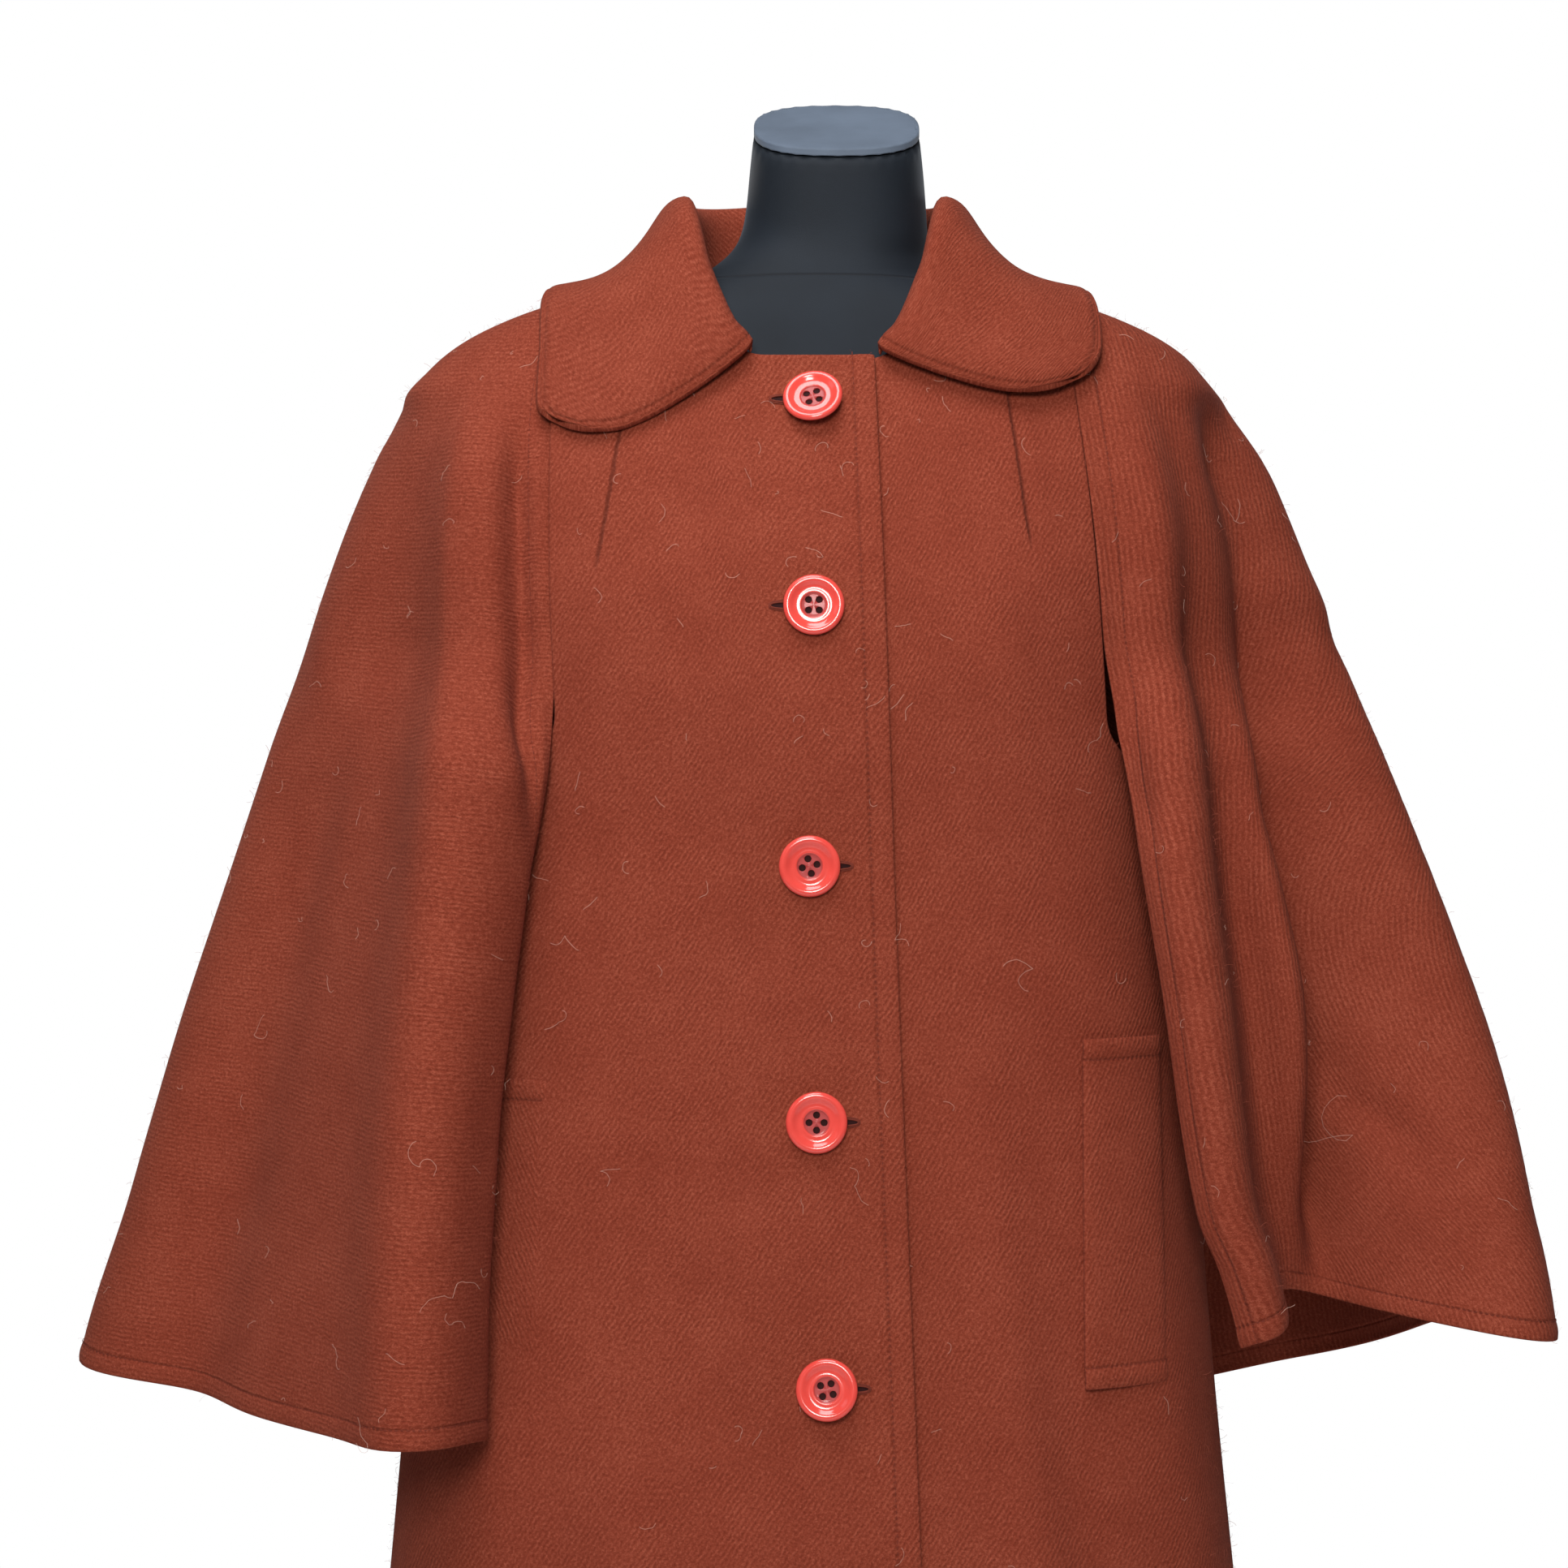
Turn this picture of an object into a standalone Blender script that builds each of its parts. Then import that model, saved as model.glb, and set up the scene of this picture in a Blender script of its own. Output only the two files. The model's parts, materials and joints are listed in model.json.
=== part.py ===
"""A cape coat on a dress form, in metres.

The coat faces -Y and stands on its form at the origin, with +Z up. The wearer's right is -X.
Every cloth piece is a wall worked out from horizontal sections of the body or of the cape.
"""

import bisect
import math

import bmesh
import bpy
import numpy as np

WALL = 0.003              # thickness of the wool
GAP = 0.0006              # space left at seams
SLACK = 0.0011            # space between two layers of cloth
LAP = WALL + SLACK        # how far a layer lies outside the one below it
EASE = 0.0008             # more space where a whole panel lies over another
SQUARE = 2.6              # exponent of the body's sections, 2 is an ellipse

COAT_HEM = 0.41
NECK_FRONT = 1.348        # top of the fronts at the centre
NECK_SIDE = 1.414         # where the shoulder seam meets the neck
NECK_BACK = 1.424
SEAM_TOP = 1.395          # where the cape's front seam meets the shoulder seam
SLIT_TOP = 1.12           # below it the cape's front edge is free
UNDERARM = 1.085

BUTTON_DIAMETER = 0.036
BUTTON_HEIGHT = 0.0046
WELT_WIDTH = 0.060
WELT_HEIGHT = 0.206
WELT_LOW = {1: 0.733, -1: 0.709}      # the coat hangs lower on the wearer's right
WELT_X = 0.157

FORM_BOTTOM = 0.80
NECK_LEAN = math.tan(math.radians(26))
NECK_SHIFT = 0.014        # the form's neck stands off the coat's centre, to the wearer's left
CAP_HEIGHT = 1.498
POLE_RADIUS = 0.016
BASE_RADIUS = 0.19
BASE_HEIGHT = 0.014

# The coat's body: half width, front, back and side line of its section at each height.
BODY = {
    "z": (0.41, 0.63, 0.71, 0.85, 0.94, 1.04, 1.12, 1.20, 1.25, 1.30, 1.33, 1.35, 1.36, 1.37,
          1.38, 1.388, 1.395, 1.403, 1.414, 1.424, 1.436),
    "half_width": (0.278, 0.258, 0.251, 0.240, 0.233, 0.220, 0.213, 0.225, 0.240, 0.256, 0.261,
                   0.244, 0.233, 0.218, 0.197, 0.176, 0.150, 0.1185, 0.078, 0.070, 0.062),
    "front": (-0.183, -0.167, -0.161, -0.151, -0.146, -0.144, -0.147, -0.140, -0.126, -0.108,
              -0.096, -0.088, -0.085, -0.082, -0.079, -0.076, -0.073, -0.070, -0.065, -0.060,
              -0.055),
    "back": (0.183, 0.166, 0.160, 0.146, 0.135, 0.130, 0.135, 0.140, 0.138, 0.132, 0.125, 0.119,
             0.116, 0.111, 0.106, 0.100, 0.095, 0.089, 0.078, 0.068, 0.060),
    "side": (0.0, 0.0, 0.0, 0.0, 0.0, 0.0, 0.003, 0.005, 0.006, 0.008, 0.008, 0.008, 0.008,
             0.008, 0.008, 0.008, 0.007, 0.006, 0.005, 0.004, 0.004),
}
# The cape's section below the shoulder: its half width, its back and its side line.
CAPE = {
    "z": (0.64, 0.74, 0.84, 0.94, 1.04, 1.14, 1.20, 1.25, 1.30, 1.33),
    "half_width": (0.468, 0.450, 0.420, 0.393, 0.362, 0.333, 0.315, 0.298, 0.277, 0.261),
    "back": (0.238, 0.226, 0.212, 0.198, 0.184, 0.168, 0.158, 0.149, 0.136, 0.125),
    "side": (0.010, 0.010, 0.010, 0.010, 0.010, 0.009, 0.009, 0.008, 0.008, 0.008),
}
# The coat's front edge and the cape's front seam, measured from the centre.
# A key of 1 is the wearer's left and -1 the right.
FRONT_EDGE = {"z": (0.41, 0.63, 1.04, 1.348), "x": (0.068, 0.061, 0.046, 0.036)}
FRONT_SEAM = {
    1: {"z": (0.90, 1.12, 1.244, 1.32, 1.395), "x": (0.186, 0.176, 0.167, 0.1585, 0.150)},
    -1: {"z": (0.90, 1.12, 1.218, 1.296, 1.395), "x": (0.150, 0.153, 0.1575, 0.159, 0.150)},
}
# The cape's free front edge, and the way that the cloth sets off from it.
SLIT_EDGE = {
    1: {"z": (0.70, 0.76, 0.805, 0.834, 0.98, 1.12),
        "x": (0.262, 0.251, 0.239, 0.227, 0.205, 0.1812),
        "y": (-0.130, -0.130, -0.129, -0.127, -0.119, -0.1072)},
    -1: {"z": (0.70, 0.80, 0.90, 1.00, 1.06, 1.12),
         "x": (0.194, 0.191, 0.184, 0.172, 0.164, 0.1569),
         "y": (-0.136, -0.133, -0.130, -0.127, -0.126, -0.1251)},
}
SLIT_WAY = {1: (0.94, -0.10), -1: (0.42, -0.24)}
# The cape's folds. Where they lie is a share of the way from the front edge to the centre back.
FOLD_COLUMNS = ("top", "middle", "low", "width_top", "width_low", "rise_top", "rise_middle",
                "rise_low", "lean")
FOLDS = {
    1: (
        (0.090, 0.036, 0.030, 0.050, 0.020, 0.010, 0.030, 0.026, 0.0),    # ridge beside the slit
        (0.200, 0.110, 0.080, 0.070, 0.040, -0.006, -0.060, -0.075, 0.0),  # deep valley
        (0.330, 0.215, 0.150, 0.080, 0.055, 0.002, 0.024, 0.034, -0.35),  # lobe
        (0.470, 0.450, 0.430, 0.060, 0.060, 0.0, -0.010, -0.022, 0.0),    # trough behind the side
        (0.620, 0.600, 0.590, 0.060, 0.060, 0.0, 0.010, 0.024, 0.0),      # back fold
        (0.760, 0.750, 0.750, 0.050, 0.060, 0.0, -0.010, -0.022, 0.0),    # back trough
    ),
    -1: (
        (0.085, 0.082, 0.073, 0.055, 0.043, 0.014, 0.042, 0.066, -0.50),  # tube beside the slit
        (0.240, 0.240, 0.240, 0.080, 0.070, -0.006, -0.024, -0.034, 0.0),  # broad trough
        (0.380, 0.360, 0.350, 0.060, 0.050, 0.0, 0.010, 0.016, 0.0),      # soft ridge at the side
        (0.500, 0.480, 0.470, 0.060, 0.060, 0.0, -0.012, -0.024, 0.0),    # trough behind the side
        (0.640, 0.630, 0.620, 0.060, 0.060, 0.0, 0.012, 0.024, 0.0),      # back fold
        (0.790, 0.780, 0.770, 0.050, 0.060, 0.0, -0.010, -0.020, 0.0),    # back trough
    ),
}
# The cape's hem height, by the share of the way from the front edge to the centre back.
CAPE_HEM = {
    1: {"share": (0.0, 0.06, 0.12, 0.25, 0.42, 0.60, 0.80, 1.0),
        "z": (0.757, 0.778, 0.772, 0.752, 0.738, 0.690, 0.660, 0.650)},
    -1: {"share": (0.0, 0.06, 0.12, 0.25, 0.42, 0.60, 0.80, 1.0),
         "z": (0.702, 0.712, 0.711, 0.718, 0.730, 0.685, 0.650, 0.642)},
}


def smooth_step(low, high, value):
    """0 below low, 1 above high, and an even change between them."""
    t = min(max((value - low) / (high - low), 0.0), 1.0)
    return t * t * (3 - 2 * t)


def tangents(xs, ys):
    """Slopes for a smooth curve through a table's points that doesn't overshoot them."""
    step = [b - a for a, b in zip(xs, xs[1:])]
    slope = [(b - a) / d for a, b, d in zip(ys, ys[1:], step)]
    middle = [2 * a * b / (a + b) if a * b > 0 else 0.0 for a, b in zip(slope, slope[1:])]
    return [slope[0], *middle, slope[-1]]


known_tangents = {}


def along(xs, ys, x):
    """The value at x of a smooth curve through a table's points."""
    if (xs, ys) not in known_tangents:
        known_tangents[xs, ys] = tangents(xs, ys)
    tangent = known_tangents[xs, ys]
    x = min(max(x, xs[0]), xs[-1])
    i = min(max(bisect.bisect_left(xs, x) - 1, 0), len(xs) - 2)
    step = xs[i + 1] - xs[i]
    t = (x - xs[i]) / step
    start = (1 + 2 * t) * (1 - t) ** 2 * ys[i] + t * t * (3 - 2 * t) * ys[i + 1]
    return start + step * (t * (1 - t) ** 2 * tangent[i] - t * t * (1 - t) * tangent[i + 1])


def section(table, z):
    """The named columns of a table at height z."""
    return {name: along(table["z"], table[name], z) for name in table if name != "z"}


def on_ring(half_width, front, back, side, angle):
    """A point of a section. The angle is 0 in front, 90 degrees at the side and 180 behind."""
    sine = math.sin(angle)
    cosine = math.cos(angle)
    x = half_width * math.copysign(abs(sine) ** (2 / SQUARE), sine)
    reach = (front if cosine > 0 else back) - side
    return x, side + reach * abs(cosine) ** (2 / SQUARE)


def body_at(angle, z):
    """A point of the coat's body before any layer is added."""
    s = section(BODY, z)
    x, y = on_ring(s["half_width"], s["front"], s["back"], s["side"], angle)
    return np.array((x, y, z))


def normal_of(surface, u, v, du=1e-3, dv=5e-4):
    """The outward normal of a surface whose first way runs left to right seen from outside."""
    across = surface(u + du, v) - surface(u - du, v)
    up = surface(u, v + dv) - surface(u, v - dv)
    normal = np.cross(across, up)
    return normal / np.linalg.norm(normal)


def body_out(angle, z, out):
    """A point of the coat's body moved out from it."""
    return body_at(angle, z) + out * normal_of(body_at, angle, z)


def angle_of(x, z):
    """The angle in front of the side line at which the body has this x."""
    share = min(abs(x) / section(BODY, z)["half_width"], 1.0)
    return math.copysign(math.asin(share ** (SQUARE / 2)), x)


def add_wall(name, outer, inner, material):
    """A closed wall between two grids of points with equal rows and columns."""
    rows, columns = len(outer), len(outer[0])
    mesh = bmesh.new()
    layers = []
    for grid in (outer, inner):
        layers.append([[mesh.verts.new(tuple(point)) for point in row] for row in grid])
    front, rear = layers
    for r in range(rows - 1):
        for c in range(columns - 1):
            mesh.faces.new((front[r][c], front[r][c + 1], front[r + 1][c + 1], front[r + 1][c]))
            mesh.faces.new((rear[r][c], rear[r + 1][c], rear[r + 1][c + 1], rear[r][c + 1]))
    for c in range(columns - 1):
        mesh.faces.new((front[0][c + 1], front[0][c], rear[0][c], rear[0][c + 1]))
        mesh.faces.new((front[-1][c], front[-1][c + 1], rear[-1][c + 1], rear[-1][c]))
    for r in range(rows - 1):
        mesh.faces.new((front[r][0], front[r + 1][0], rear[r + 1][0], rear[r][0]))
        mesh.faces.new((front[r + 1][-1], front[r][-1], rear[r][-1], rear[r + 1][-1]))
    bmesh.ops.recalc_face_normals(mesh, faces=mesh.faces[:])
    return add_object(name, mesh, material)


def add_object(name, mesh, material, smooth=True):
    """Turns a finished bmesh into an object of the coat's collection."""
    for face in mesh.faces:
        face.smooth = smooth
    data = bpy.data.meshes.new(name)
    mesh.to_mesh(data)
    mesh.free()
    data.materials.append(material)
    made = bpy.data.objects.new(name, data)
    coat.objects.link(made)
    return made


def add_material(name, colour, roughness):
    """A plain surface for one piece."""
    made = bpy.data.materials.new(name)
    made.use_nodes = True
    shader = made.node_tree.nodes["Principled BSDF"]
    shader.inputs["Base Color"].default_value = (*colour, 1)
    shader.inputs["Roughness"].default_value = roughness
    return made


def spaced(low, high, count):
    """Evenly spaced numbers from low to high."""
    return [low + (high - low) * i / (count - 1) for i in range(count)]


for stale in list(bpy.data.objects):
    bpy.data.objects.remove(stale)

coat = bpy.data.collections.new("cape_coat")
bpy.context.scene.collection.children.link(coat)
cutters = bpy.data.collections.new("cutters")
bpy.context.scene.collection.children.link(cutters)

WOOL = (0.30, 0.075, 0.045)
PLASTIC = (0.75, 0.08, 0.06)
STRETCH = (0.028, 0.034, 0.045)
METAL = (0.55, 0.55, 0.56)


# The fronts. Each runs from its front edge to the side seam, the armhole and the shoulder seam.
PANEL_HEIGHTS = (0.41, 0.55, 0.70, 0.83, 0.93, 1.01, 1.05, 1.08, 1.11, 1.14, 1.18, 1.22, 1.26, 1.30,
                 1.335, 1.36, 1.376, 1.386, 1.3915, 1.395, 1.404, 1.414)
STEADY_END = math.radians(44)
FRONT_COLUMNS = (0.0, 0.045, 0.09, 0.14, 0.20, 0.27, 0.35, 0.44, 0.53, 0.62, 0.71, 0.80, 0.88, 0.95,
                 1.0)
NECKLINE = {"x": (0.036, 0.050, 0.060, 0.069, 0.074, 0.077, 0.078),
            "z": (1.348, 1.355, 1.367, 1.382, 1.397, 1.408, 1.414)}


def outer_angle(side, z):
    """Where a front or the back ends: side seam, then armhole, then shoulder seam."""
    seam = along(FRONT_SEAM[side]["z"], FRONT_SEAM[side]["x"], z)
    armhole = angle_of(seam, z) if z < SEAM_TOP - 1e-6 else math.pi / 2
    return armhole + (math.pi / 2 - armhole) * smooth_step(UNDERARM + 0.04, UNDERARM - 0.03, z)


def spread(u, start, end):
    """The angle at a share u of the way over a panel. Only the last columns follow its uneven end."""
    return start + (STEADY_END - start) * u + (end - STEADY_END) * u ** 4


def neck_climb():
    """How far up the neckline lies at each column of a front's top row."""
    heights = spaced(NECK_FRONT, NECK_SIDE, 60)
    angles = [angle_of(along(NECKLINE["z"], NECKLINE["x"], z), z) for z in heights[:-1]]
    angles.append(math.pi / 2)
    start = angle_of(-FRONT_EDGE["x"][-1], NECK_FRONT)
    across = [spread(u, start, math.pi / 2) for u in FRONT_COLUMNS]
    climbed = NECK_SIDE - NECK_FRONT
    return [(np.interp(angle, angles, heights) - NECK_FRONT) / climbed for angle in across]


CLIMB = dict(zip(FRONT_COLUMNS, neck_climb()))


def front_place(side, u, z_side):
    """The angle and height of a place on a front, u from the front edge to the side."""
    top = (z_side - COAT_HEM) / (NECK_SIDE - COAT_HEM)
    z_edge = COAT_HEM + (NECK_FRONT - COAT_HEM) * top
    z = z_edge + (z_side - z_edge) * CLIMB[u]
    start = angle_of(-along(FRONT_EDGE["z"], FRONT_EDGE["x"], z_edge), z_edge)
    return side * spread(u, start, outer_angle(side, z_side)), z


def front_grids(side, lap):
    """The outer and inner points of a front. The overlapping one steps out near the centre."""
    outer = []
    inner = []
    for z_side in PANEL_HEIGHTS:
        for grid in (outer, inner):
            grid.append([])
        for u in FRONT_COLUMNS:
            angle, z = front_place(side, u, z_side)
            place = body_at(angle, z)
            edge = along(FRONT_EDGE["z"], FRONT_EDGE["x"], z)
            out = lap * smooth_step(edge + 0.055, edge + 0.015, side * place[0])
            back_off = seam_shift(side, z_side) * np.array((side, 1, 1)) if u == 1.0 else 0.0
            outer[-1].append(body_out(angle, z, out) - back_off)
            inner[-1].append(body_out(angle, z, out - WALL) - back_off)
    return outer, inner


def seam_shift(side, z):
    """Half of the seam's gap at a front's side, square to the seam, as on the wearer's left."""
    angle = outer_angle(side, z)
    above = min(z + 2e-4, NECK_SIDE)
    down = body_at(outer_angle(side, z - 2e-4), z - 2e-4) - body_at(outer_angle(side, above), above)
    off = np.cross(normal_of(body_at, angle, z), down)
    corner = smooth_step(1.378, 1.388, z) * smooth_step(1.404, 1.396, z)
    return off / np.linalg.norm(off) * (GAP / 2 + 0.0005 * corner)


for name, side, lap in (("front_right", -1, LAP + EASE), ("front_left", 1, 0.0)):
    outer, inner = front_grids(side, lap)
    add_wall(name, outer, inner, add_material(name, WOOL, 0.9))


# The back lies under the cape, one layer in at the shoulders.
def back_grids():
    """The outer and inner points of the back, from one side seam round to the other."""
    outer = []
    inner = []
    for z_side in PANEL_HEIGHTS:
        for grid in (outer, inner):
            grid.append([])
        top = (z_side - COAT_HEM) / (NECK_SIDE - COAT_HEM)
        z_low = min(z_side, NECK_SIDE - 0.006)
        z_centre = COAT_HEM + (NECK_BACK - 0.009 - COAT_HEM) * top
        depth = (LAP + GAP) * smooth_step(UNDERARM + 0.005, UNDERARM + 0.075, z_side)
        for place in spaced(-1, 1, 19):
            side = 1 if place <= 0 else -1
            u = 1 - (1 - abs(place)) ** 1.5
            angle = math.pi - u * outer_angle(side, z_side)
            z = z_low + (z_centre - z_low) * (1 - u) ** 0.6
            back_off = np.array((0, GAP / 2, 0)) if u == 1.0 else 0.0
            flip = np.array((side, 1, 1))
            outer[-1].append((body_out(angle, z, -depth) + back_off) * flip)
            inner[-1].append((body_out(angle, z, -depth - WALL) + back_off) * flip)
    return outer, inner


outer, inner = back_grids()
add_wall("back", outer, inner, add_material("back", WOOL, 0.9))


# The cape. Each level is a curve from the front seam round the shoulder to the centre back.
def edge_point(side, z):
    """Where the cape begins at height z, and the way that it sets off."""
    x = along(FRONT_SEAM[side]["z"], FRONT_SEAM[side]["x"], z)
    angle = angle_of(x, z)
    start = body_at(angle, z)[:2]
    ahead = body_at(angle + 0.02, z)[:2] - body_at(angle - 0.02, z)[:2]
    ahead = ahead / np.linalg.norm(ahead)
    free = smooth_step(SLIT_TOP + 0.06, SLIT_TOP - 0.02, z)
    if free > 0:
        edge = SLIT_EDGE[side]
        slit = np.array((along(edge["z"], edge["x"], z), along(edge["z"], edge["y"], z)))
        start = start + free * (slit - start)
        ahead = ahead + free * (np.array(SLIT_WAY[side]) - ahead)
    return start, ahead


def cape_level(side, z, count=64):
    """The cape's smooth section at height z, before its folds, on the wearer's left."""
    low = smooth_step(1.345, 1.30, z)
    body = section(BODY, z)
    wide = dict(body)
    if z < 1.33:
        wide.update(section(CAPE, z))
    seam = along(FRONT_SEAM[side]["z"], FRONT_SEAM[side]["x"], z)
    first = angle_of(seam, z) if z < SEAM_TOP else math.pi / 2
    round_front = [on_ring(body["half_width"], body["front"], body["back"], body["side"], a)
                   for a in spaced(first, math.pi / 2, count)]
    curve = np.array(round_front)
    if low > 0:
        start, ahead = edge_point(side, z)
        end = np.array((wide["half_width"], wide["side"]))
        reach = np.linalg.norm(end - start) * 1.25
        t = np.linspace(0, 1, count)[:, None]
        hung = ((1 + 2 * t) * (1 - t) ** 2 * start + t * t * (3 - 2 * t) * end
                + t * (1 - t) ** 2 * reach * ahead
                - t * t * (1 - t) * reach * np.array((0.0, 1.0)))
        curve = curve + low * (hung - curve)
    behind = [on_ring(wide["half_width"], body["front"], wide["back"], wide["side"], a)
              for a in spaced(math.pi / 2, math.pi, count)]
    return np.vstack((curve[:-1], behind))


def by_height(top, middle, low, z):
    """A value that is given at the slit's top, at elbow height and at the hem."""
    return along((0.70, 1.00, 1.27, 1.40), (low, middle, top, top), z)


level_cache = {}


def cape_at(side, share, z):
    """A point of the cape with its folds."""
    key = (side, round(z, 6))
    if key not in level_cache:
        curve = cape_level(side, z)
        length = np.concatenate(((0.0,), np.cumsum(np.linalg.norm(np.diff(curve, axis=0), axis=1))))
        level_cache[key] = (curve, length / length[-1])
    curve, shares = level_cache[key]
    x = np.interp(share, shares, curve[:, 0])
    y = np.interp(share, shares, curve[:, 1])
    ahead = [np.interp(share + 0.01, shares, curve[:, k]) for k in (0, 1)]
    behind = [np.interp(share - 0.01, shares, curve[:, k]) for k in (0, 1)]
    way = np.subtract(ahead, behind)
    way = way / np.linalg.norm(way)
    out = np.array((way[1], -way[0]))
    place = np.array((x, y))
    fade = smooth_step(1.36, 1.28, z)
    for row in FOLDS[side]:
        fold = dict(zip(FOLD_COLUMNS, row))
        centre = by_height(fold["top"], fold["middle"], fold["low"], z)
        width_middle = 0.5 * (fold["width_top"] + fold["width_low"])
        width = by_height(fold["width_top"], width_middle, fold["width_low"], z)
        rise = by_height(fold["rise_top"], fold["rise_middle"], fold["rise_low"], z) * fade
        near = (share - centre) / width
        bump = math.exp(-near * near)
        hold = 1.0 - math.exp(-((share / 0.02) ** 2)) if z > SLIT_TOP - 0.05 else 1.0
        place = place + out * rise * bump * hold + way * fold["lean"] * abs(rise) * bump * hold
    return np.array((side * place[0], place[1], z))


CAPE_COLUMNS = (0.0, 0.02, 0.04, 0.06, 0.08, 0.10, 0.12, 0.145, 0.17, 0.20, 0.235, 0.27, 0.31,
                0.35, 0.39, 0.43, 0.475, 0.52, 0.57, 0.62, 0.67, 0.72, 0.77, 0.83, 0.91, 1.0)


def cape_normal(side, share, z):
    """The outward normal of the cape. Its front seam takes the front's, so that the two stay apart."""
    if share == 0.0 and z > SLIT_TOP:
        seam = along(FRONT_SEAM[side]["z"], FRONT_SEAM[side]["x"], z)
        angle = angle_of(seam, z) if z < SEAM_TOP - 1e-6 else math.pi / 2
        return normal_of(body_at, angle, z) * np.array((side, 1, 1))
    across = cape_at(side, min(share + 0.008, 1.0), z) - cape_at(side, max(share - 0.008, 0.0), z)
    up = cape_at(side, share, z + 0.002) - cape_at(side, share, z - 0.002)
    if share == 1.0:
        across = np.array((-side, 0.0, 0.0))
        up[0] = 0.0
    normal = side * np.cross(across, up)
    return normal / np.linalg.norm(normal)


def cape_grids(side):
    """The outer and inner points of half a cape, from its hem to the shoulder seam and the neck."""
    outer = []
    inner = []
    hem = CAPE_HEM[side]
    edge_low = hem["z"][0]
    edge_heights = spaced(edge_low, SLIT_TOP, 13) + [z for z in PANEL_HEIGHTS if z > SLIT_TOP]
    for edge_z in edge_heights:
        for grid in (outer, inner):
            grid.append([])
        level = (edge_z - edge_low) / (NECK_SIDE - edge_low)
        for share in CAPE_COLUMNS:
            low = along(hem["share"], hem["z"], share)
            top = NECK_SIDE + (NECK_BACK - NECK_SIDE) * share ** 1.4
            z = low + (top - low) * level
            place = cape_at(side, share, z)
            if share == 0.0 and z > SLIT_TOP:
                place = place + seam_shift(side, z) * np.array((side, 1, 1))
            if share == 1.0:
                place = place + np.array((side * GAP / 2, 0, 0))
            outer[-1].append(place)
            inner[-1].append(place - WALL * cape_normal(side, share, z))
    return outer, inner


for name, side in (("cape_right", -1), ("cape_left", 1)):
    outer, inner = cape_grids(side)
    add_wall(name, outer, inner, add_material(name, WOOL, 0.9))


# The welt pockets lie on the fronts.
def welt_grids(side):
    """The outer and inner points of a welt, which keeps its width as the front bends away."""
    outer = []
    inner = []
    for z in spaced(WELT_LOW[side], WELT_LOW[side] + WELT_HEIGHT, 8):
        for grid in (outer, inner):
            grid.append([])
        angle = angle_of(WELT_X, z)
        step = WELT_WIDTH / 5
        for _ in range(6):
            outer[-1].append(body_out(side * angle, z, GAP + WALL))
            inner[-1].append(body_out(side * angle, z, GAP))
            per_radian = np.linalg.norm(body_at(angle + 0.01, z) - body_at(angle, z)) / 0.01
            angle = angle + step / per_radian
    return outer, inner


for name, side in (("welt_right", -1), ("welt_left", 1)):
    outer, inner = welt_grids(side)
    add_wall(name, outer, inner, add_material(name, WOOL, 0.9))


# The collar. Each section climbs the stand, rolls over and falls to the outer edge.
# Sections run from the centre back, share 0, past the shoulder, 1, to the front end, 2.
# A place on the fall is given by its distance from the centre, its height and its lift off the coat.
COLLAR_COLUMNS = ("share", "rise", "roll", "mid_x", "mid_z", "mid_lift", "edge_x", "edge_z", "edge_lift")
COLLAR = {
    1: (
        (0.00, 0.044, 0.010, 0.000, 1.396, 0.010, 0.000, 1.352, 0.0065),
        (0.50, 0.043, 0.010, 0.078, 1.396, 0.010, 0.105, 1.362, 0.0065),
        (0.85, 0.042, 0.009, 0.117, 1.4000, 0.0080, 0.159, 1.3845, 0.0075),
        (1.00, 0.041, 0.009, 0.1200, 1.4026, 0.0070, 0.1680, 1.3900, 0.0085),
        (1.12, 0.040, 0.009, 0.122, 1.4000, 0.0085, 0.1710, 1.3840, 0.0085),
        (1.35, 0.034, 0.009, 0.124, 1.380, 0.012, 0.1735, 1.364, 0.0080),
        (1.60, 0.024, 0.009, 0.112, 1.362, 0.014, 0.1727, 1.350, 0.0100),
        (1.82, 0.013, 0.008, 0.108, 1.340, 0.014, 0.1675, 1.337, 0.0105),
        (2.00, 0.005, 0.006, 0.120, 1.3212, 0.011, 0.1585, 1.3262, 0.0105),
    ),
    -1: (
        (0.00, 0.044, 0.010, 0.000, 1.396, 0.010, 0.000, 1.352, 0.0065),
        (0.50, 0.043, 0.010, 0.078, 1.396, 0.010, 0.105, 1.362, 0.0065),
        (0.85, 0.042, 0.009, 0.117, 1.4000, 0.0080, 0.159, 1.3845, 0.0075),
        (1.00, 0.041, 0.009, 0.1195, 1.4028, 0.0070, 0.1650, 1.3910, 0.0085),
        (1.12, 0.040, 0.009, 0.121, 1.4000, 0.0085, 0.1670, 1.3830, 0.0085),
        (1.35, 0.034, 0.009, 0.122, 1.376, 0.013, 0.167, 1.354, 0.0080),
        (1.60, 0.024, 0.009, 0.110, 1.353, 0.014, 0.1675, 1.334, 0.0095),
        (1.82, 0.013, 0.008, 0.106, 1.325, 0.014, 0.1668, 1.314, 0.0105),
        (2.00, 0.005, 0.006, 0.122, 1.2968, 0.011, 0.1585, 1.2985, 0.0105),
    ),
}


def neckline_at(share):
    """Angle and height of the neckline, on the wearer's left, from centre back to front end."""
    if share <= 1:
        return math.pi - share * math.pi / 2, NECK_SIDE + (NECK_BACK - NECK_SIDE) * (1 - share) ** 1.4
    z = along((1.0, 1.25, 1.5, 1.75, 2.0), (1.414, 1.404, 1.386, 1.365, 1.3485), share)
    return (angle_of(along(NECKLINE["z"], NECKLINE["x"], z), z) if z < 1.4139 else math.pi / 2), z


def over_coat(x, z, lift, behind):
    """A place at this height and distance from the centre, lifted off the coat."""
    angle = angle_of(x, z)
    return body_out(math.pi - angle if behind else angle, z, lift)


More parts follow.
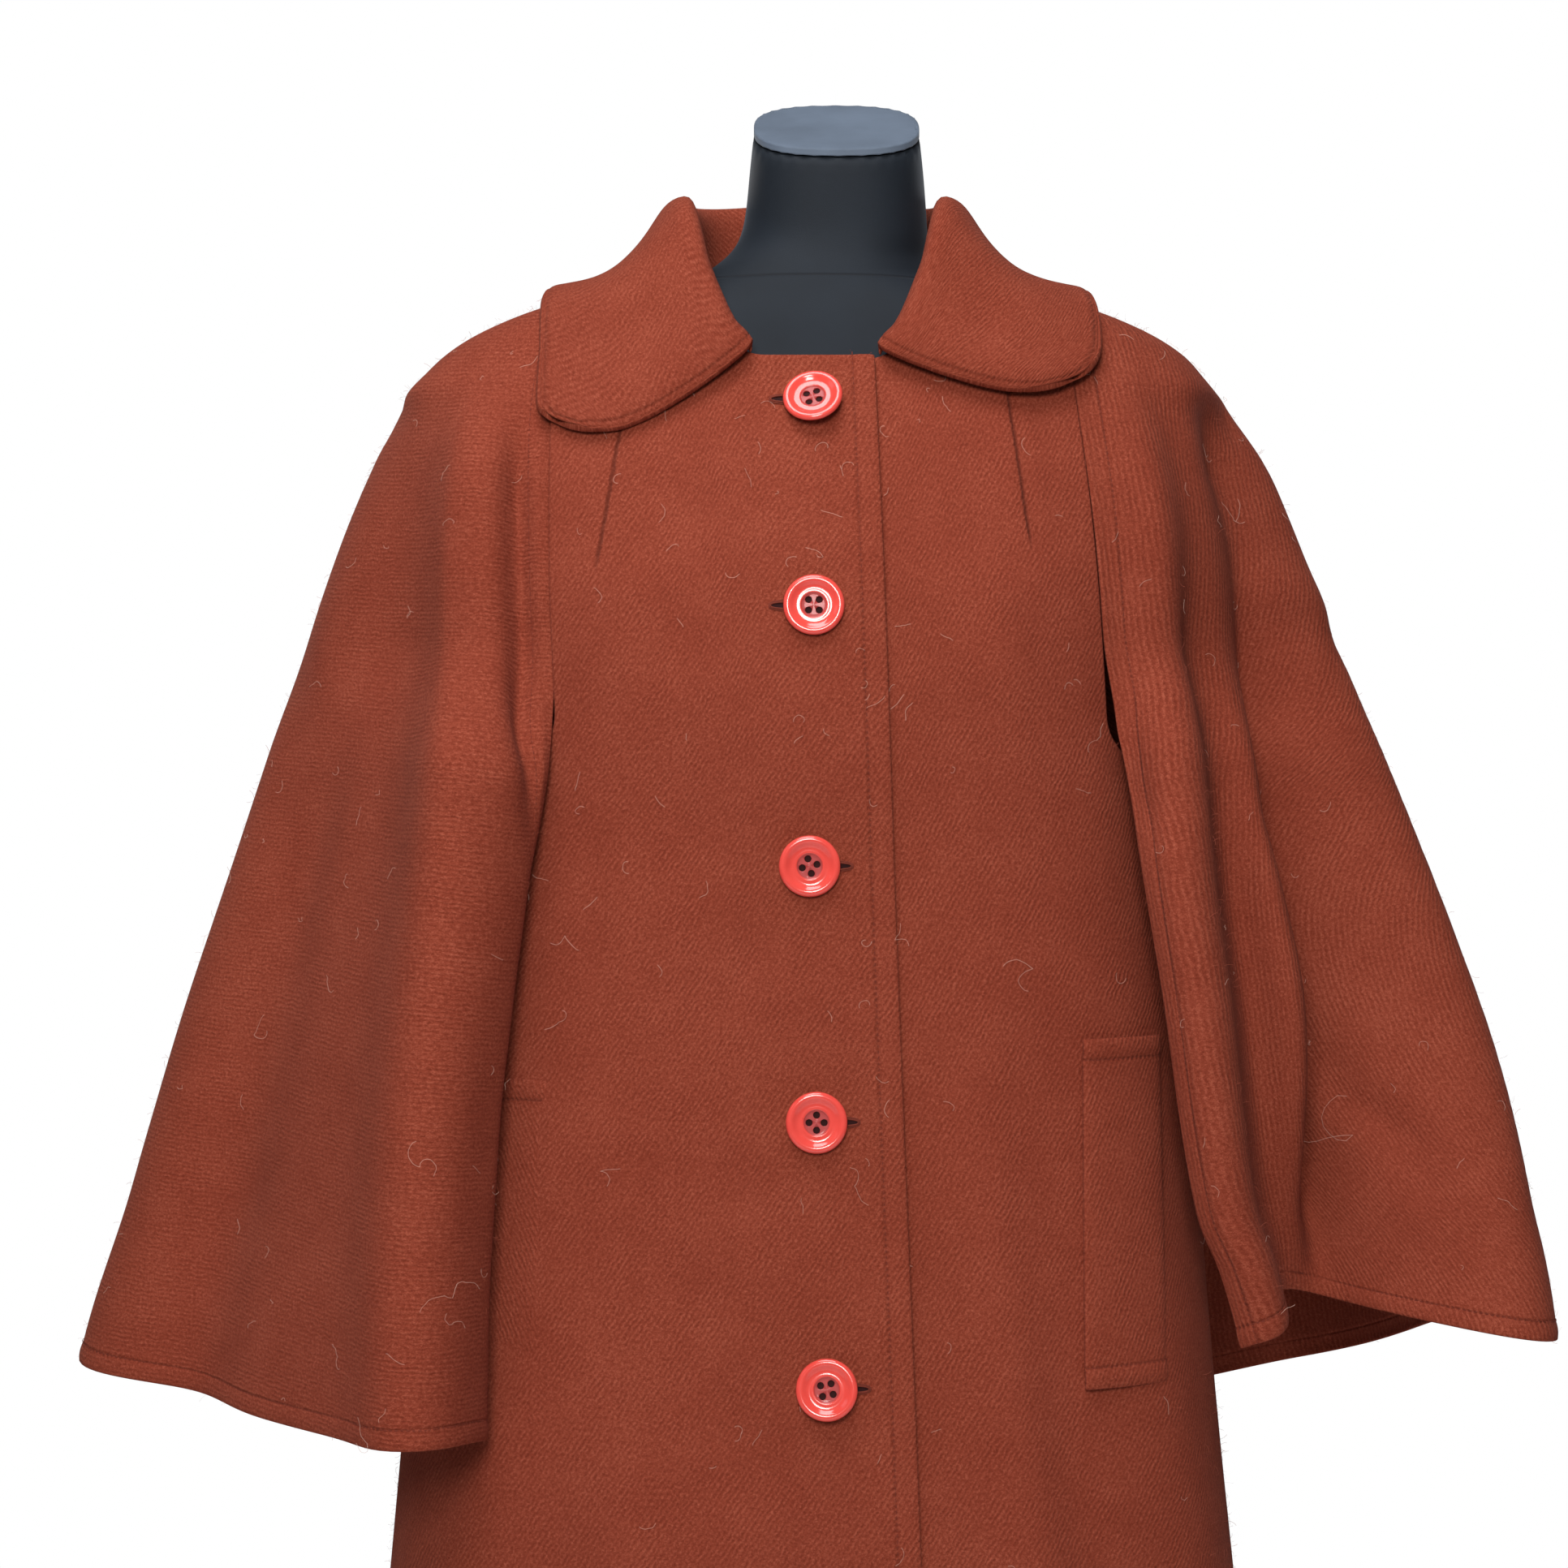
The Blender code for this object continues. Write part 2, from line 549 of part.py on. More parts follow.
def collar_section(side, share, steps):
    """Middle points of the collar from the neck seam to the outer edge."""
    rows = COLLAR[side]
    shares = tuple(row[0] for row in rows)
    at = {}
    for i, name in enumerate(COLLAR_COLUMNS):
        at[name] = along(shares, tuple(row[i] for row in rows), share)
    angle, z = neckline_at(share)
    rim = body_at(angle, z)
    down = body_at(angle, z - 0.003) - rim
    down = down / np.linalg.norm(down)
    out = normal_of(body_at, angle, z)
    level = np.array((out[0], out[1], 0.0))
    level = level / np.linalg.norm(level)
    lapped = LAP * smooth_step(1.60, 1.85, share) if side < 0 else 0.0
    foot = rim - down * (2 * GAP + WALL / 2) + out * (0.001 + lapped)
    top = foot + np.array((0, 0, at["rise"])) + level * at["roll"] * 0.45
    over = foot + np.array((0, 0, at["rise"] - 0.45 * at["roll"])) + level * at["roll"] * 1.5
    behind = share < 1
    middle = over_coat(at["mid_x"], at["mid_z"], at["mid_lift"], behind)
    edge = over_coat(at["edge_x"], at["edge_z"], at["edge_lift"], behind)
    knots = np.array((foot, foot + np.array((0, 0, at["rise"] * 0.55)), top, over, middle, edge))
    return spline(knots, steps)


def spline(knots, steps):
    """Evenly spaced points of a smooth curve through the knots."""
    length = (0.0, *np.cumsum(np.linalg.norm(np.diff(knots, axis=0), axis=1) ** 0.5))
    columns = [tuple(knots[:, k]) for k in range(3)]
    fine = np.linspace(0, length[-1], 80)
    dense = np.array([[along(length, column, t) for column in columns] for t in fine])
    run = np.concatenate(((0.0,), np.cumsum(np.linalg.norm(np.diff(dense, axis=0), axis=1))))
    even = np.linspace(0, run[-1], steps)
    return np.array([[np.interp(t, run, dense[:, k]) for k in range(3)] for t in even])


COLLAR_SHARES = (0.0, 0.14, 0.28, 0.42, 0.56, 0.70, 0.82, 0.92, 1.0, 1.1, 1.2, 1.3, 1.42, 1.54,
                 1.66, 1.78, 1.88, 2.0)
ACROSS = 11


def collar_grids():
    """The two faces of the collar, from its right end round the neck to its left end."""
    stations = [(-1, s) for s in reversed(COLLAR_SHARES[1:])] + [(1, s) for s in COLLAR_SHARES]
    middle = []
    for side, share in stations:
        middle.append(collar_section(side, share, ACROSS) * np.array((side, 1, 1)))
    middle = np.array(middle)
    along_way = np.gradient(middle, axis=0)
    across_way = np.gradient(middle, axis=1)
    normal = np.cross(along_way, across_way)
    normal = normal / np.linalg.norm(normal, axis=2)[:, :, None]
    return middle + normal * WALL / 2, middle - normal * WALL / 2


outer, inner = collar_grids()
add_wall("collar", outer, inner, add_material("collar", WOOL, 0.9))


# The buttons: a turned profile with four holes, set on the overlapping front.
BUTTONS = (
    ("button_1", -0.0015, 1.3175, 12),
    ("button_2", -0.0015, 1.194, 35),
    ("button_3", -0.0040, 1.042, 60),
    ("button_4", 0.0000, 0.892, 20),
    ("button_5", 0.0060, 0.738, 48),
)
# The profile's distances are shares of the radius and of the height.
BUTTON_PROFILE = ((0.0, 0.0), (0.80, 0.0), (1.0, 0.42), (0.99, 0.66), (0.88, 0.95), (0.74, 1.0),
                  (0.62, 0.82), (0.50, 0.72), (0.42, 0.50), (0.0, 0.50))
HOLE_RADIUS = 0.115 * BUTTON_DIAMETER / 2
HOLE_CIRCLE = 0.245 * BUTTON_DIAMETER / 2


def add_button(name, x, z, turn):
    """A turned button with four drilled holes, square to the front below it."""
    radius = BUTTON_DIAMETER / 2
    profile = bmesh.new()
    ring = [profile.verts.new((r * radius, 0, h * BUTTON_HEIGHT)) for r, h in BUTTON_PROFILE]
    for first, second in zip(ring, ring[1:]):
        profile.edges.new((first, second))
    button = add_object(name, profile, add_material(name, PLASTIC, 0.25))
    turned = button.modifiers.new("turn", "SCREW")
    turned.steps = 20
    turned.render_steps = 20
    turned.use_merge_vertices = True
    turned.merge_threshold = 0.00005
    drill_mesh = bmesh.new()
    for quarter in range(4):
        way = math.radians(turn + 90 * quarter)
        made = bmesh.ops.create_cone(drill_mesh, cap_ends=True, segments=6, radius1=HOLE_RADIUS,
                                     radius2=HOLE_RADIUS, depth=4 * BUTTON_HEIGHT)
        shift = (HOLE_CIRCLE * math.cos(way), HOLE_CIRCLE * math.sin(way), 0)
        bmesh.ops.translate(drill_mesh, verts=made["verts"], vec=shift)
    drill = bpy.data.objects.new(name + "_drill", bpy.data.meshes.new(name + "_drill"))
    drill_mesh.to_mesh(drill.data)
    drill_mesh.free()
    cutters.objects.link(drill)
    drill.hide_render = True
    drill.display_type = "WIRE"
    holes = button.modifiers.new("holes", "BOOLEAN")
    holes.operation = "DIFFERENCE"
    holes.solver = "EXACT"
    holes.object = drill
    angle = angle_of(x, z)
    out = normal_of(body_at, angle, z)
    place = body_at(angle, z) + out * (LAP + EASE + GAP + 0.0001)
    tilt = math.atan2(out[2], -out[1])
    lean = math.atan2(out[0], -out[1])
    for piece in (button, drill):
        piece.rotation_euler = (math.pi / 2 - tilt, 0, lean)
        piece.location = place
    return button


for name, x, z, turn in BUTTONS:
    add_button(name, x, z, turn)


# The dress form: a smooth torso and neck, a flat cap, a pole and a round base.
FORM = {
    "z": (0.80, 0.84, 0.92, 1.02, 1.10, 1.20, 1.27, 1.33, 1.36, 1.38, 1.40, 1.414, 1.43, 1.45,
          1.475, 1.50),
    "half_width": (0.168, 0.171, 0.160, 0.128, 0.138, 0.154, 0.168, 0.190, 0.193, 0.190, 0.100,
                   0.0690, 0.0600, 0.0570, 0.0550, 0.0520),
    "front": (-0.106, -0.110, -0.104, -0.088, -0.108, -0.127, -0.110, -0.088, -0.079, -0.074,
              -0.067, -0.061, -0.058, -0.0580, -0.0595, -0.0610),
    "back": (0.114, 0.120, 0.112, 0.090, 0.100, 0.108, 0.114, 0.112, 0.105, 0.095, 0.080, 0.066,
             0.056, 0.050, 0.043, 0.037),
    "side": (0.0, 0.0, 0.0, 0.0, 0.0, 0.0, 0.003, 0.006, 0.008, 0.008, 0.006, 0.003, -0.001,
             -0.005, -0.009, -0.012),
}
FORM_HEIGHTS = (FORM_BOTTOM, 0.82, 0.88, 0.95, 1.02, 1.09, 1.15, 1.20, 1.25, 1.30, 1.335, 1.358,
                1.370, 1.379, 1.387, 1.395, 1.403, 1.411, 1.420, 1.432, 1.45, 1.475, CAP_HEIGHT)
FORM_DEPTH = 0.0108       # from the coat's outside to the form at the shoulders
FORM_STEPS = 30
CAP_THICKNESS = 0.005


def under_coat(name, z):
    """How far out the form may reach below the coat's cloth at height z, for one column of BODY."""
    if name == "half_width":
        return along(BODY["z"], BODY[name], z + FORM_DEPTH)
    depth = FORM_DEPTH - 0.001 if name == "back" else WALL + 0.002
    reach = along(BODY["z"], BODY[name], z)
    slope = (along(BODY["z"], BODY[name], z + 0.002) - along(BODY["z"], BODY[name], z - 0.002)) / 0.004
    return math.copysign(abs(reach) - depth * math.sqrt(1 + slope * slope), reach)


def form_at(angle, z):
    """A point of the form: its own section, kept under the coat at the shoulders."""
    s = section(FORM, z)
    if 1.335 < z < 1.408:
        for name in ("half_width", "front", "back"):
            limit = under_coat(name, z)
            s[name] = math.copysign(min(abs(s[name]), abs(limit)), s[name])
    x, y = on_ring(s["half_width"], s["front"], s["back"], s["side"], angle)
    lean = smooth_step(1.40, CAP_HEIGHT, z)
    shift = NECK_SHIFT * smooth_step(1.40, 1.44, z)
    return np.array((x + shift, y, z + NECK_LEAN * lean * (y - s["side"])))


def cap_at(angle, lift):
    """A point of the neck's flat top, which leans with it."""
    s = section(FORM, CAP_HEIGHT)
    x, y = on_ring(s["half_width"], s["front"], s["back"], s["side"], angle)
    return np.array((x + NECK_SHIFT, y, CAP_HEIGHT + lift + NECK_LEAN * (y - s["side"])))


def add_loft(name, place, levels):
    """A closed solid through rings, one for each level, with flat ends."""
    mesh = bmesh.new()
    angles = [2 * math.pi * i / FORM_STEPS for i in range(FORM_STEPS)]
    rings = [[mesh.verts.new(tuple(place(angle, level))) for angle in angles] for level in levels]
    for low, high in zip(rings, rings[1:]):
        for i in range(FORM_STEPS):
            j = (i + 1) % FORM_STEPS
            mesh.faces.new((low[i], low[j], high[j], high[i]))
    mesh.faces.new(tuple(reversed(rings[0])))
    mesh.faces.new(tuple(rings[-1]))
    bmesh.ops.recalc_face_normals(mesh, faces=mesh.faces[:])
    return add_object(name, mesh, add_material(name, STRETCH, 0.85))


def add_turned(name, low, high, radius, steps):
    """An upright metal cylinder between two heights."""
    mesh = bmesh.new()
    made = bmesh.ops.create_cone(mesh, cap_ends=True, segments=steps, radius1=radius, radius2=radius,
                                 depth=high - low)
    bmesh.ops.translate(mesh, verts=made["verts"], vec=(0, 0, (low + high) / 2))
    return add_object(name, mesh, add_material(name, METAL, 0.35), smooth=False)


add_loft("form_body", form_at, FORM_HEIGHTS)
add_loft("form_cap", cap_at, (GAP, GAP + CAP_THICKNESS))
add_turned("form_pole", BASE_HEIGHT + GAP, FORM_BOTTOM - GAP, POLE_RADIUS, 24)
add_turned("form_base", 0.0, BASE_HEIGHT, BASE_RADIUS, 48)
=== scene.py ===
"""The looks of a cape coat on a dress form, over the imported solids."""

import json
import math

import bmesh
import bpy
import mathutils
import numpy as np
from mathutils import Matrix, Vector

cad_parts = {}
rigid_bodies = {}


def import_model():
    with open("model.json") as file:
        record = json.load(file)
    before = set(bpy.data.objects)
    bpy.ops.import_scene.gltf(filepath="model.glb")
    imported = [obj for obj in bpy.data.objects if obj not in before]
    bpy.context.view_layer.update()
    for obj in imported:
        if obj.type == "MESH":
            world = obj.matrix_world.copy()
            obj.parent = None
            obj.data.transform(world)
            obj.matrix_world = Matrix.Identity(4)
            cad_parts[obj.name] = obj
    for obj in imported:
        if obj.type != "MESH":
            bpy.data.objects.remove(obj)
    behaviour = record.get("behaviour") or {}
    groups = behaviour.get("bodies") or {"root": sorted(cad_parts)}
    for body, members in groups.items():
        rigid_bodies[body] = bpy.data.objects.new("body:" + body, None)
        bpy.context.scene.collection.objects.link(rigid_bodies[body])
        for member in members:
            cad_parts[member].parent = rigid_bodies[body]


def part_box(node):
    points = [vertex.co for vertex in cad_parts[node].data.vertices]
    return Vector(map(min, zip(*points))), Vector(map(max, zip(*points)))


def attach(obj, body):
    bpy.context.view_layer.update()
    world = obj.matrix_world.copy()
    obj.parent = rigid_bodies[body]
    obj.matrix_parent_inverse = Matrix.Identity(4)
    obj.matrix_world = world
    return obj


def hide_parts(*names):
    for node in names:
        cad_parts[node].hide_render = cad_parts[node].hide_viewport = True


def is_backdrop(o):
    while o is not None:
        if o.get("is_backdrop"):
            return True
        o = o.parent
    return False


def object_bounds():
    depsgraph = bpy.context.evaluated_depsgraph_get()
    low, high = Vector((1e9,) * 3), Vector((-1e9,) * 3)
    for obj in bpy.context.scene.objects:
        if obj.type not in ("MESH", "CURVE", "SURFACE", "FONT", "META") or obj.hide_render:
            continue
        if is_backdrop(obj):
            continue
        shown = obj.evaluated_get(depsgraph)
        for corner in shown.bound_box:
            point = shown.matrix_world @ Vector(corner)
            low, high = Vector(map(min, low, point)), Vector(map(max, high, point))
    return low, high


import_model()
cad_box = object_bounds()

# The camera stands level in front of the coat, at chest height, as the photographer's did.
# Its lens is set for a square picture, which ends below the cape's hem.
CAMERA_PLACE = (-0.019, -2.0, 1.09)
PIXELS = 1932
PIXELS_PER_TANGENT = 3896
camera_data = bpy.data.cameras.new("photo_camera")
camera_data.sensor_width = 36
camera_data.lens = 36 * PIXELS_PER_TANGENT / PIXELS
camera = bpy.data.objects.new("photo_camera", camera_data)
camera.location = CAMERA_PLACE
camera.rotation_euler = (math.pi / 2, 0, 0)
bpy.context.collection.objects.link(camera)
bpy.context.scene.camera = camera
bpy.context.scene.view_settings.view_transform = "Standard"


# The dress form is a firm torso with a leaning neck, covered in dark blue-grey stretch cloth.
# The cover is sewn from a torso part and a neck part, whose seam runs round the neck's foot.
NECK_SEAM = 1.402
FORM_BLUE = (0.0085, 0.0125, 0.0185)
# The neck part's much paler blue-grey is painted reflection: it stands for the lamps' light on the neck's
# tilted top.
CAP_BLUE_PAINTED_REFLECTION = (0.110, 0.140, 0.185)


def node(tree, kind, inputs=(), **settings):
    """Adds a node, sets what is named, and joins or fills the inputs that are given."""
    made = tree.nodes.new(kind)
    for name, value in settings.items():
        setattr(made, name, value)
    for socket, value in dict(inputs).items():
        if isinstance(value, bpy.types.NodeSocket):
            tree.links.new(value, made.inputs[socket])
        else:
            made.inputs[socket].default_value = value
    return made


def math_of(tree, operation, first, second=0.0, third=0.0, clamp=False):
    """The result of a Math node."""
    made = node(tree, "ShaderNodeMath", {0: first, 1: second, 2: third}, operation=operation)
    made.use_clamp = clamp
    return made.outputs[0]


def blend_of(tree, share, first, second, kind="MIX"):
    """The result of a colour mix."""
    made = node(tree, "ShaderNodeMix", {0: share, 6: first, 7: second}, data_type="RGBA",
                blend_type=kind)
    return made.outputs[2]


def new_material(name, roughness, specular=0.5):
    """A material with its node tree and its shader."""
    made = bpy.data.materials.new(name)
    made.use_nodes = True
    shader = made.node_tree.nodes["Principled BSDF"]
    shader.inputs["Roughness"].default_value = roughness
    shader.inputs["Specular IOR Level"].default_value = specular
    return made, made.node_tree, shader


def here(tree):
    """The place of each point in the coat's own frame."""
    return node(tree, "ShaderNodeTexCoord").outputs["Object"]


def map_parts(tree, name):
    """The two parts of a named map."""
    given = node(tree, "ShaderNodeUVMap", uv_map=name)
    return node(tree, "ShaderNodeSeparateXYZ", {0: given.outputs[0]}).outputs


def graded(tree, value, low, high, first, last):
    """A value stretched so that low becomes first and high becomes last."""
    return node(tree, "ShaderNodeMapRange", {0: value, 1: low, 2: high, 3: first, 4: last}).outputs[0]


def noise(tree, place, scale, detail, **more):
    """The height of a Noise texture."""
    values = {"Vector": place, "Scale": scale, "Detail": detail, **more}
    return node(tree, "ShaderNodeTexNoise", values).outputs[0]


def give_bump(tree, shader, relief, strength, distance):
    """Joins a relief to the shader's normal."""
    bump = node(tree, "ShaderNodeBump", {"Height": relief, "Strength": strength, "Distance": distance})
    tree.links.new(bump.outputs[0], shader.inputs["Normal"])


def give_sheen(shader, weight, roughness, tint):
    """The soft sheen of loose fibres."""
    shader.inputs["Sheen Weight"].default_value = weight
    shader.inputs["Sheen Roughness"].default_value = roughness
    shader.inputs["Sheen Tint"].default_value = (*tint, 1)


def plain_mesh(name, shape):
    """A mesh from a bmesh, which is freed."""
    data = bpy.data.meshes.new(name)
    shape.to_mesh(data)
    shape.free()
    return data


def in_scene(name, data):
    """A linked object with this mesh."""
    made = bpy.data.objects.new(name, data)
    bpy.context.collection.objects.link(made)
    return made


def round_off(made, levels):
    """Rounds a piece with a Subdivision modifier."""
    finish = made.modifiers.new("rounding", "SUBSURF")
    finish.levels = levels
    finish.render_levels = levels


def stand_for(made, node_name):
    """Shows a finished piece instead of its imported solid, on the coat's one body."""
    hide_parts(node_name)
    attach(made, "root")
    return made


def stretch_cloth(name, dye):
    """Fine matt jersey with a soft sheen and a dark line where the neck is sewn on."""
    made, tree, shader = new_material(name, 0.72, 0.25)
    place = here(tree)
    height = node(tree, "ShaderNodeSeparateXYZ", {0: place}).outputs["Z"]
    off = math_of(tree, "ABSOLUTE", math_of(tree, "SUBTRACT", height, NECK_SEAM))
    seam = math_of(tree, "SUBTRACT", 1.0, math_of(tree, "DIVIDE", off, 0.0012), clamp=True)
    knit = noise(tree, place, 1400, 2)
    tone = math_of(tree, "MULTIPLY_ADD", noise(tree, place, 22, 4), 0.7, 0.62)
    light = blend_of(tree, 1.0, (*dye, 1), node(tree, "ShaderNodeCombineColor",
                     {0: tone, 1: tone, 2: tone}).outputs[0], "MULTIPLY")
    tree.links.new(blend_of(tree, math_of(tree, "MULTIPLY", seam, 0.8), light, (0.006, 0.007, 0.01, 1)),
                   shader.inputs["Base Color"])
    give_bump(tree, shader, math_of(tree, "MULTIPLY_ADD", seam, -8.0, knit), 0.5, 0.00012)
    give_sheen(shader, 0.08, 0.4, (0.75, 0.87, 1.0))
    return made


def smoothed_copy(name, levels, material):
    """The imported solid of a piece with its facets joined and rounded, but for its sharp edges."""
    mesh = bmesh.new()
    mesh.from_mesh(bpy.data.objects[name].data)
    bmesh.ops.remove_doubles(mesh, verts=mesh.verts, dist=1e-5)
    flat = [edge for edge in mesh.edges if len(edge.link_faces) == 2 and edge.calc_face_angle() < 0.002]
    bmesh.ops.dissolve_edges(mesh, edges=flat, use_verts=False)
    bmesh.ops.join_triangles(mesh, faces=[f for f in mesh.faces if len(f.verts) == 3],
                             angle_face_threshold=1.2, angle_shape_threshold=1.2)
    layer = mesh.edges.layers.float.new("crease_edge")
    for edge in mesh.edges:
        if edge.calc_face_angle(0.0) > 0.9:
            edge[layer] = 0.75
    for face in mesh.faces:
        face.smooth = True
    data = plain_mesh(name + "_smooth", mesh)
    data.materials.append(material)
    made = in_scene(name + "_smooth", data)
    round_off(made, levels)
    stand_for(made, name)


smoothed_copy("form_body", 2, stretch_cloth("stretch_cover", FORM_BLUE))
# The neck part's pale dye is painted reflection.
smoothed_copy("form_cap", 3, stretch_cloth("cap_cover_painted_reflection", CAP_BLUE_PAINTED_REFLECTION))


# The pole is a satin steel tube and the base a heavy round plate with a rounded rim.
# A sleeve on the plate holds the tube upright.
def satin_steel():
    """Steel with fine turning marks."""
    made, tree, shader = new_material("satin_steel", 0.34)
    shader.inputs["Metallic"].default_value = 1.0
    place = here(tree)
    rings = noise(tree, place, 260, 3)
    tint = blend_of(tree, rings, (0.46, 0.46, 0.47, 1), (0.60, 0.60, 0.61, 1))
    tree.links.new(tint, shader.inputs["Base Color"])
    tree.links.new(graded(tree, rings, 0.0, 1.0, 0.27, 0.42), shader.inputs["Roughness"])
    return made


def ring_of(mesh, radius, height, count):
    """A ring of points round the z axis."""
    turns = [2 * math.pi * i / count for i in range(count)]
    return [mesh.verts.new((radius * math.cos(turn), radius * math.sin(turn), height)) for turn in turns]


def turned(name, profile, material, steps=72):
    """A turned piece from the radius and height of each point of its profile, bottom to top."""
    mesh = bmesh.new()
    rings = [ring_of(mesh, radius, height, steps) for radius, height in profile]
    for low, high in zip(rings, rings[1:]):
        for i in range(steps):
            j = (i + 1) % steps
            mesh.faces.new((low[i], low[j], high[j], high[i]))
    mesh.faces.new(tuple(reversed(rings[0])))
    mesh.faces.new(tuple(rings[-1]))
    for face in mesh.faces:
        face.smooth = len(face.verts) == 4
    data = plain_mesh(name + "_turned", mesh)
    data.materials.append(material)
    stand_for(in_scene(name + "_turned", data), name)


steel = satin_steel()
pole_low, pole_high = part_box("form_pole")
base_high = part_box("form_base")[1]
pole_radius = pole_high[0]
base_radius = base_high[0]
base_top = base_high[2]
RIM = 0.004
BASE_CHAMFER = 0.003
SLEEVE_HEIGHT = 0.035
SLEEVE_WALL = 0.003
SLEEVE_CHAMFER = 0.001
base_profile = [(base_radius - BASE_CHAMFER, 0.0), (base_radius, BASE_CHAMFER)]
for degrees in range(0, 91, 15):
    turn = math.radians(degrees)
    base_profile.append((base_radius - RIM * (1 - math.cos(turn)), base_top - RIM * (1 - math.sin(turn))))
turned("form_base", base_profile, steel, 96)
sleeve_top = pole_low[2] + SLEEVE_HEIGHT
tube_radius = pole_radius - SLEEVE_WALL
pole_profile = [(pole_radius, pole_low[2]), (pole_radius, sleeve_top - SLEEVE_CHAMFER),
                (pole_radius - SLEEVE_CHAMFER, sleeve_top), (tube_radius, sleeve_top),
                (tube_radius, pole_high[2])]
turned("form_pole", pole_profile, steel)


# The fronts of the coat are felted wool twill, each cut in one piece from neck to hem, with a
# dart from the shoulder. The wearer's right front lies on top and carries the buttonholes.
# The widths, depths and heights below are the coat's own, shared by the pieces sewn to the fronts.
WALL = 0.003
GAP = 0.0006
LAP = 0.0041
EASE = 0.0008
SQUARE = 2.6
COAT_HEM = 0.41
NECK_FRONT = 1.348
NECK_SIDE = 1.414
NECK_BACK = 1.424
SEAM_TOP = 1.395
SLIT_TOP = 1.12
UNDERARM = 1.085
BODY = {
    "z": (0.41, 0.63, 0.71, 0.85, 0.94, 1.04, 1.12, 1.20, 1.25, 1.30, 1.33, 1.35, 1.36, 1.37,
          1.38, 1.388, 1.395, 1.403, 1.414, 1.424, 1.436),
    "half_width": (0.278, 0.258, 0.251, 0.240, 0.233, 0.220, 0.213, 0.225, 0.240, 0.256, 0.261,
                   0.244, 0.233, 0.218, 0.197, 0.176, 0.150, 0.1185, 0.078, 0.070, 0.062),
    "front": (-0.183, -0.167, -0.161, -0.151, -0.146, -0.144, -0.147, -0.140, -0.126, -0.108,
              -0.096, -0.088, -0.085, -0.082, -0.079, -0.076, -0.073, -0.070, -0.065, -0.060,
              -0.055),
    "back": (0.183, 0.166, 0.160, 0.146, 0.135, 0.130, 0.135, 0.140, 0.138, 0.132, 0.125, 0.119,
             0.116, 0.111, 0.106, 0.100, 0.095, 0.089, 0.078, 0.068, 0.060),
    "side": (0.0, 0.0, 0.0, 0.0, 0.0, 0.0, 0.003, 0.005, 0.006, 0.008, 0.008, 0.008, 0.008,
             0.008, 0.008, 0.008, 0.007, 0.006, 0.005, 0.004, 0.004),
}
FRONT_EDGE = {"z": (0.41, 0.63, 1.04, 1.348), "x": (0.068, 0.061, 0.046, 0.036)}
# A key of 1 is the wearer's left and -1 the right.
FRONT_SEAM = {
    1: {"z": (0.90, 1.12, 1.244, 1.32, 1.395), "x": (0.186, 0.176, 0.167, 0.1585, 0.150)},
    -1: {"z": (0.90, 1.12, 1.218, 1.296, 1.395), "x": (0.150, 0.153, 0.1575, 0.159, 0.150)},
}
NECKLINE = {"x": (0.036, 0.050, 0.060, 0.069, 0.074, 0.077, 0.078),
            "z": (1.348, 1.355, 1.367, 1.382, 1.397, 1.408, 1.414)}
STEADY_END = math.radians(44)


def along(xs, ys, x):
    """Values at x of a smooth curve through a table's points that doesn't overshoot them."""
    xs, ys = np.asarray(xs, float), np.asarray(ys, float)
    step = np.diff(xs)
    slope = np.diff(ys) / step
    product = slope[:-1] * slope[1:]
    total = np.where(product > 0, slope[:-1] + slope[1:], 1.0)
    tangent = np.concatenate((slope[:1], np.where(product > 0, 2 * product / total, 0.0), slope[-1:]))
    x = np.clip(x, xs[0], xs[-1])
    i = np.clip(np.searchsorted(xs, x) - 1, 0, len(xs) - 2)
    t = (x - xs[i]) / step[i]
    start = (1 + 2 * t) * (1 - t) ** 2 * ys[i] + t * t * (3 - 2 * t) * ys[i + 1]
    return start + step[i] * (t * (1 - t) ** 2 * tangent[i] - t * t * (1 - t) * tangent[i + 1])


def at_height(table, name, z):
    """A column of a table at height z."""
    return along(table["z"], table[name], z)


def smooth_step(low, high, value):
    """0 below low, 1 above high, and an even change between them."""
    t = np.clip((value - low) / (high - low), 0.0, 1.0)
    return t * t * (3 - 2 * t)


def unit(vectors):
    """Vectors at a length of 1."""
    return vectors / np.linalg.norm(vectors, axis=-1, keepdims=True)


def lengths_along(points):
    """How far each point lies along its curve, which runs over the last axis but one."""
    steps = np.linalg.norm(np.diff(points, axis=-2), axis=-1)
    return np.concatenate((np.zeros((*steps.shape[:-1], 1)), np.cumsum(steps, axis=-1)), axis=-1)


def bell(off, width):
    """1 in the middle of a soft ridge, and 0 well beside it."""
    return np.exp(-((off / width) ** 2))


def on_ring(half_width, front, back, side, angle):
    """Points of a section. The angle is 0 in front, 90 degrees at the side and 180 behind."""
    sine, cosine = np.sin(angle), np.cos(angle)
    x = half_width * np.sign(sine) * np.abs(sine) ** (2 / SQUARE)
    y = side + np.where(cosine > 0, front - side, back - side) * np.abs(cosine) ** (2 / SQUARE)
    return x, y


def body_at(angle, z):
    """Points of the coat's body before any layer is added."""
    parts = [at_height(BODY, name, z) for name in ("half_width", "front", "back", "side")]
    x, y = on_ring(*parts, angle)
    return np.stack(np.broadcast_arrays(x, y, z), axis=-1)


def body_normal(angle, z):
    """Outward normals of the coat's body."""
    across = body_at(angle + 1e-3, z) - body_at(angle - 1e-3, z)
    up = body_at(angle, z + 5e-4) - body_at(angle, z - 5e-4)
    return unit(np.cross(across, up))


def angle_of(x, z):
    """The angle in front of the side line at which the body has this x."""
    share = np.minimum(np.abs(x) / at_height(BODY, "half_width", z), 1.0)
    return np.sign(x) * np.arcsin(share ** (SQUARE / 2))


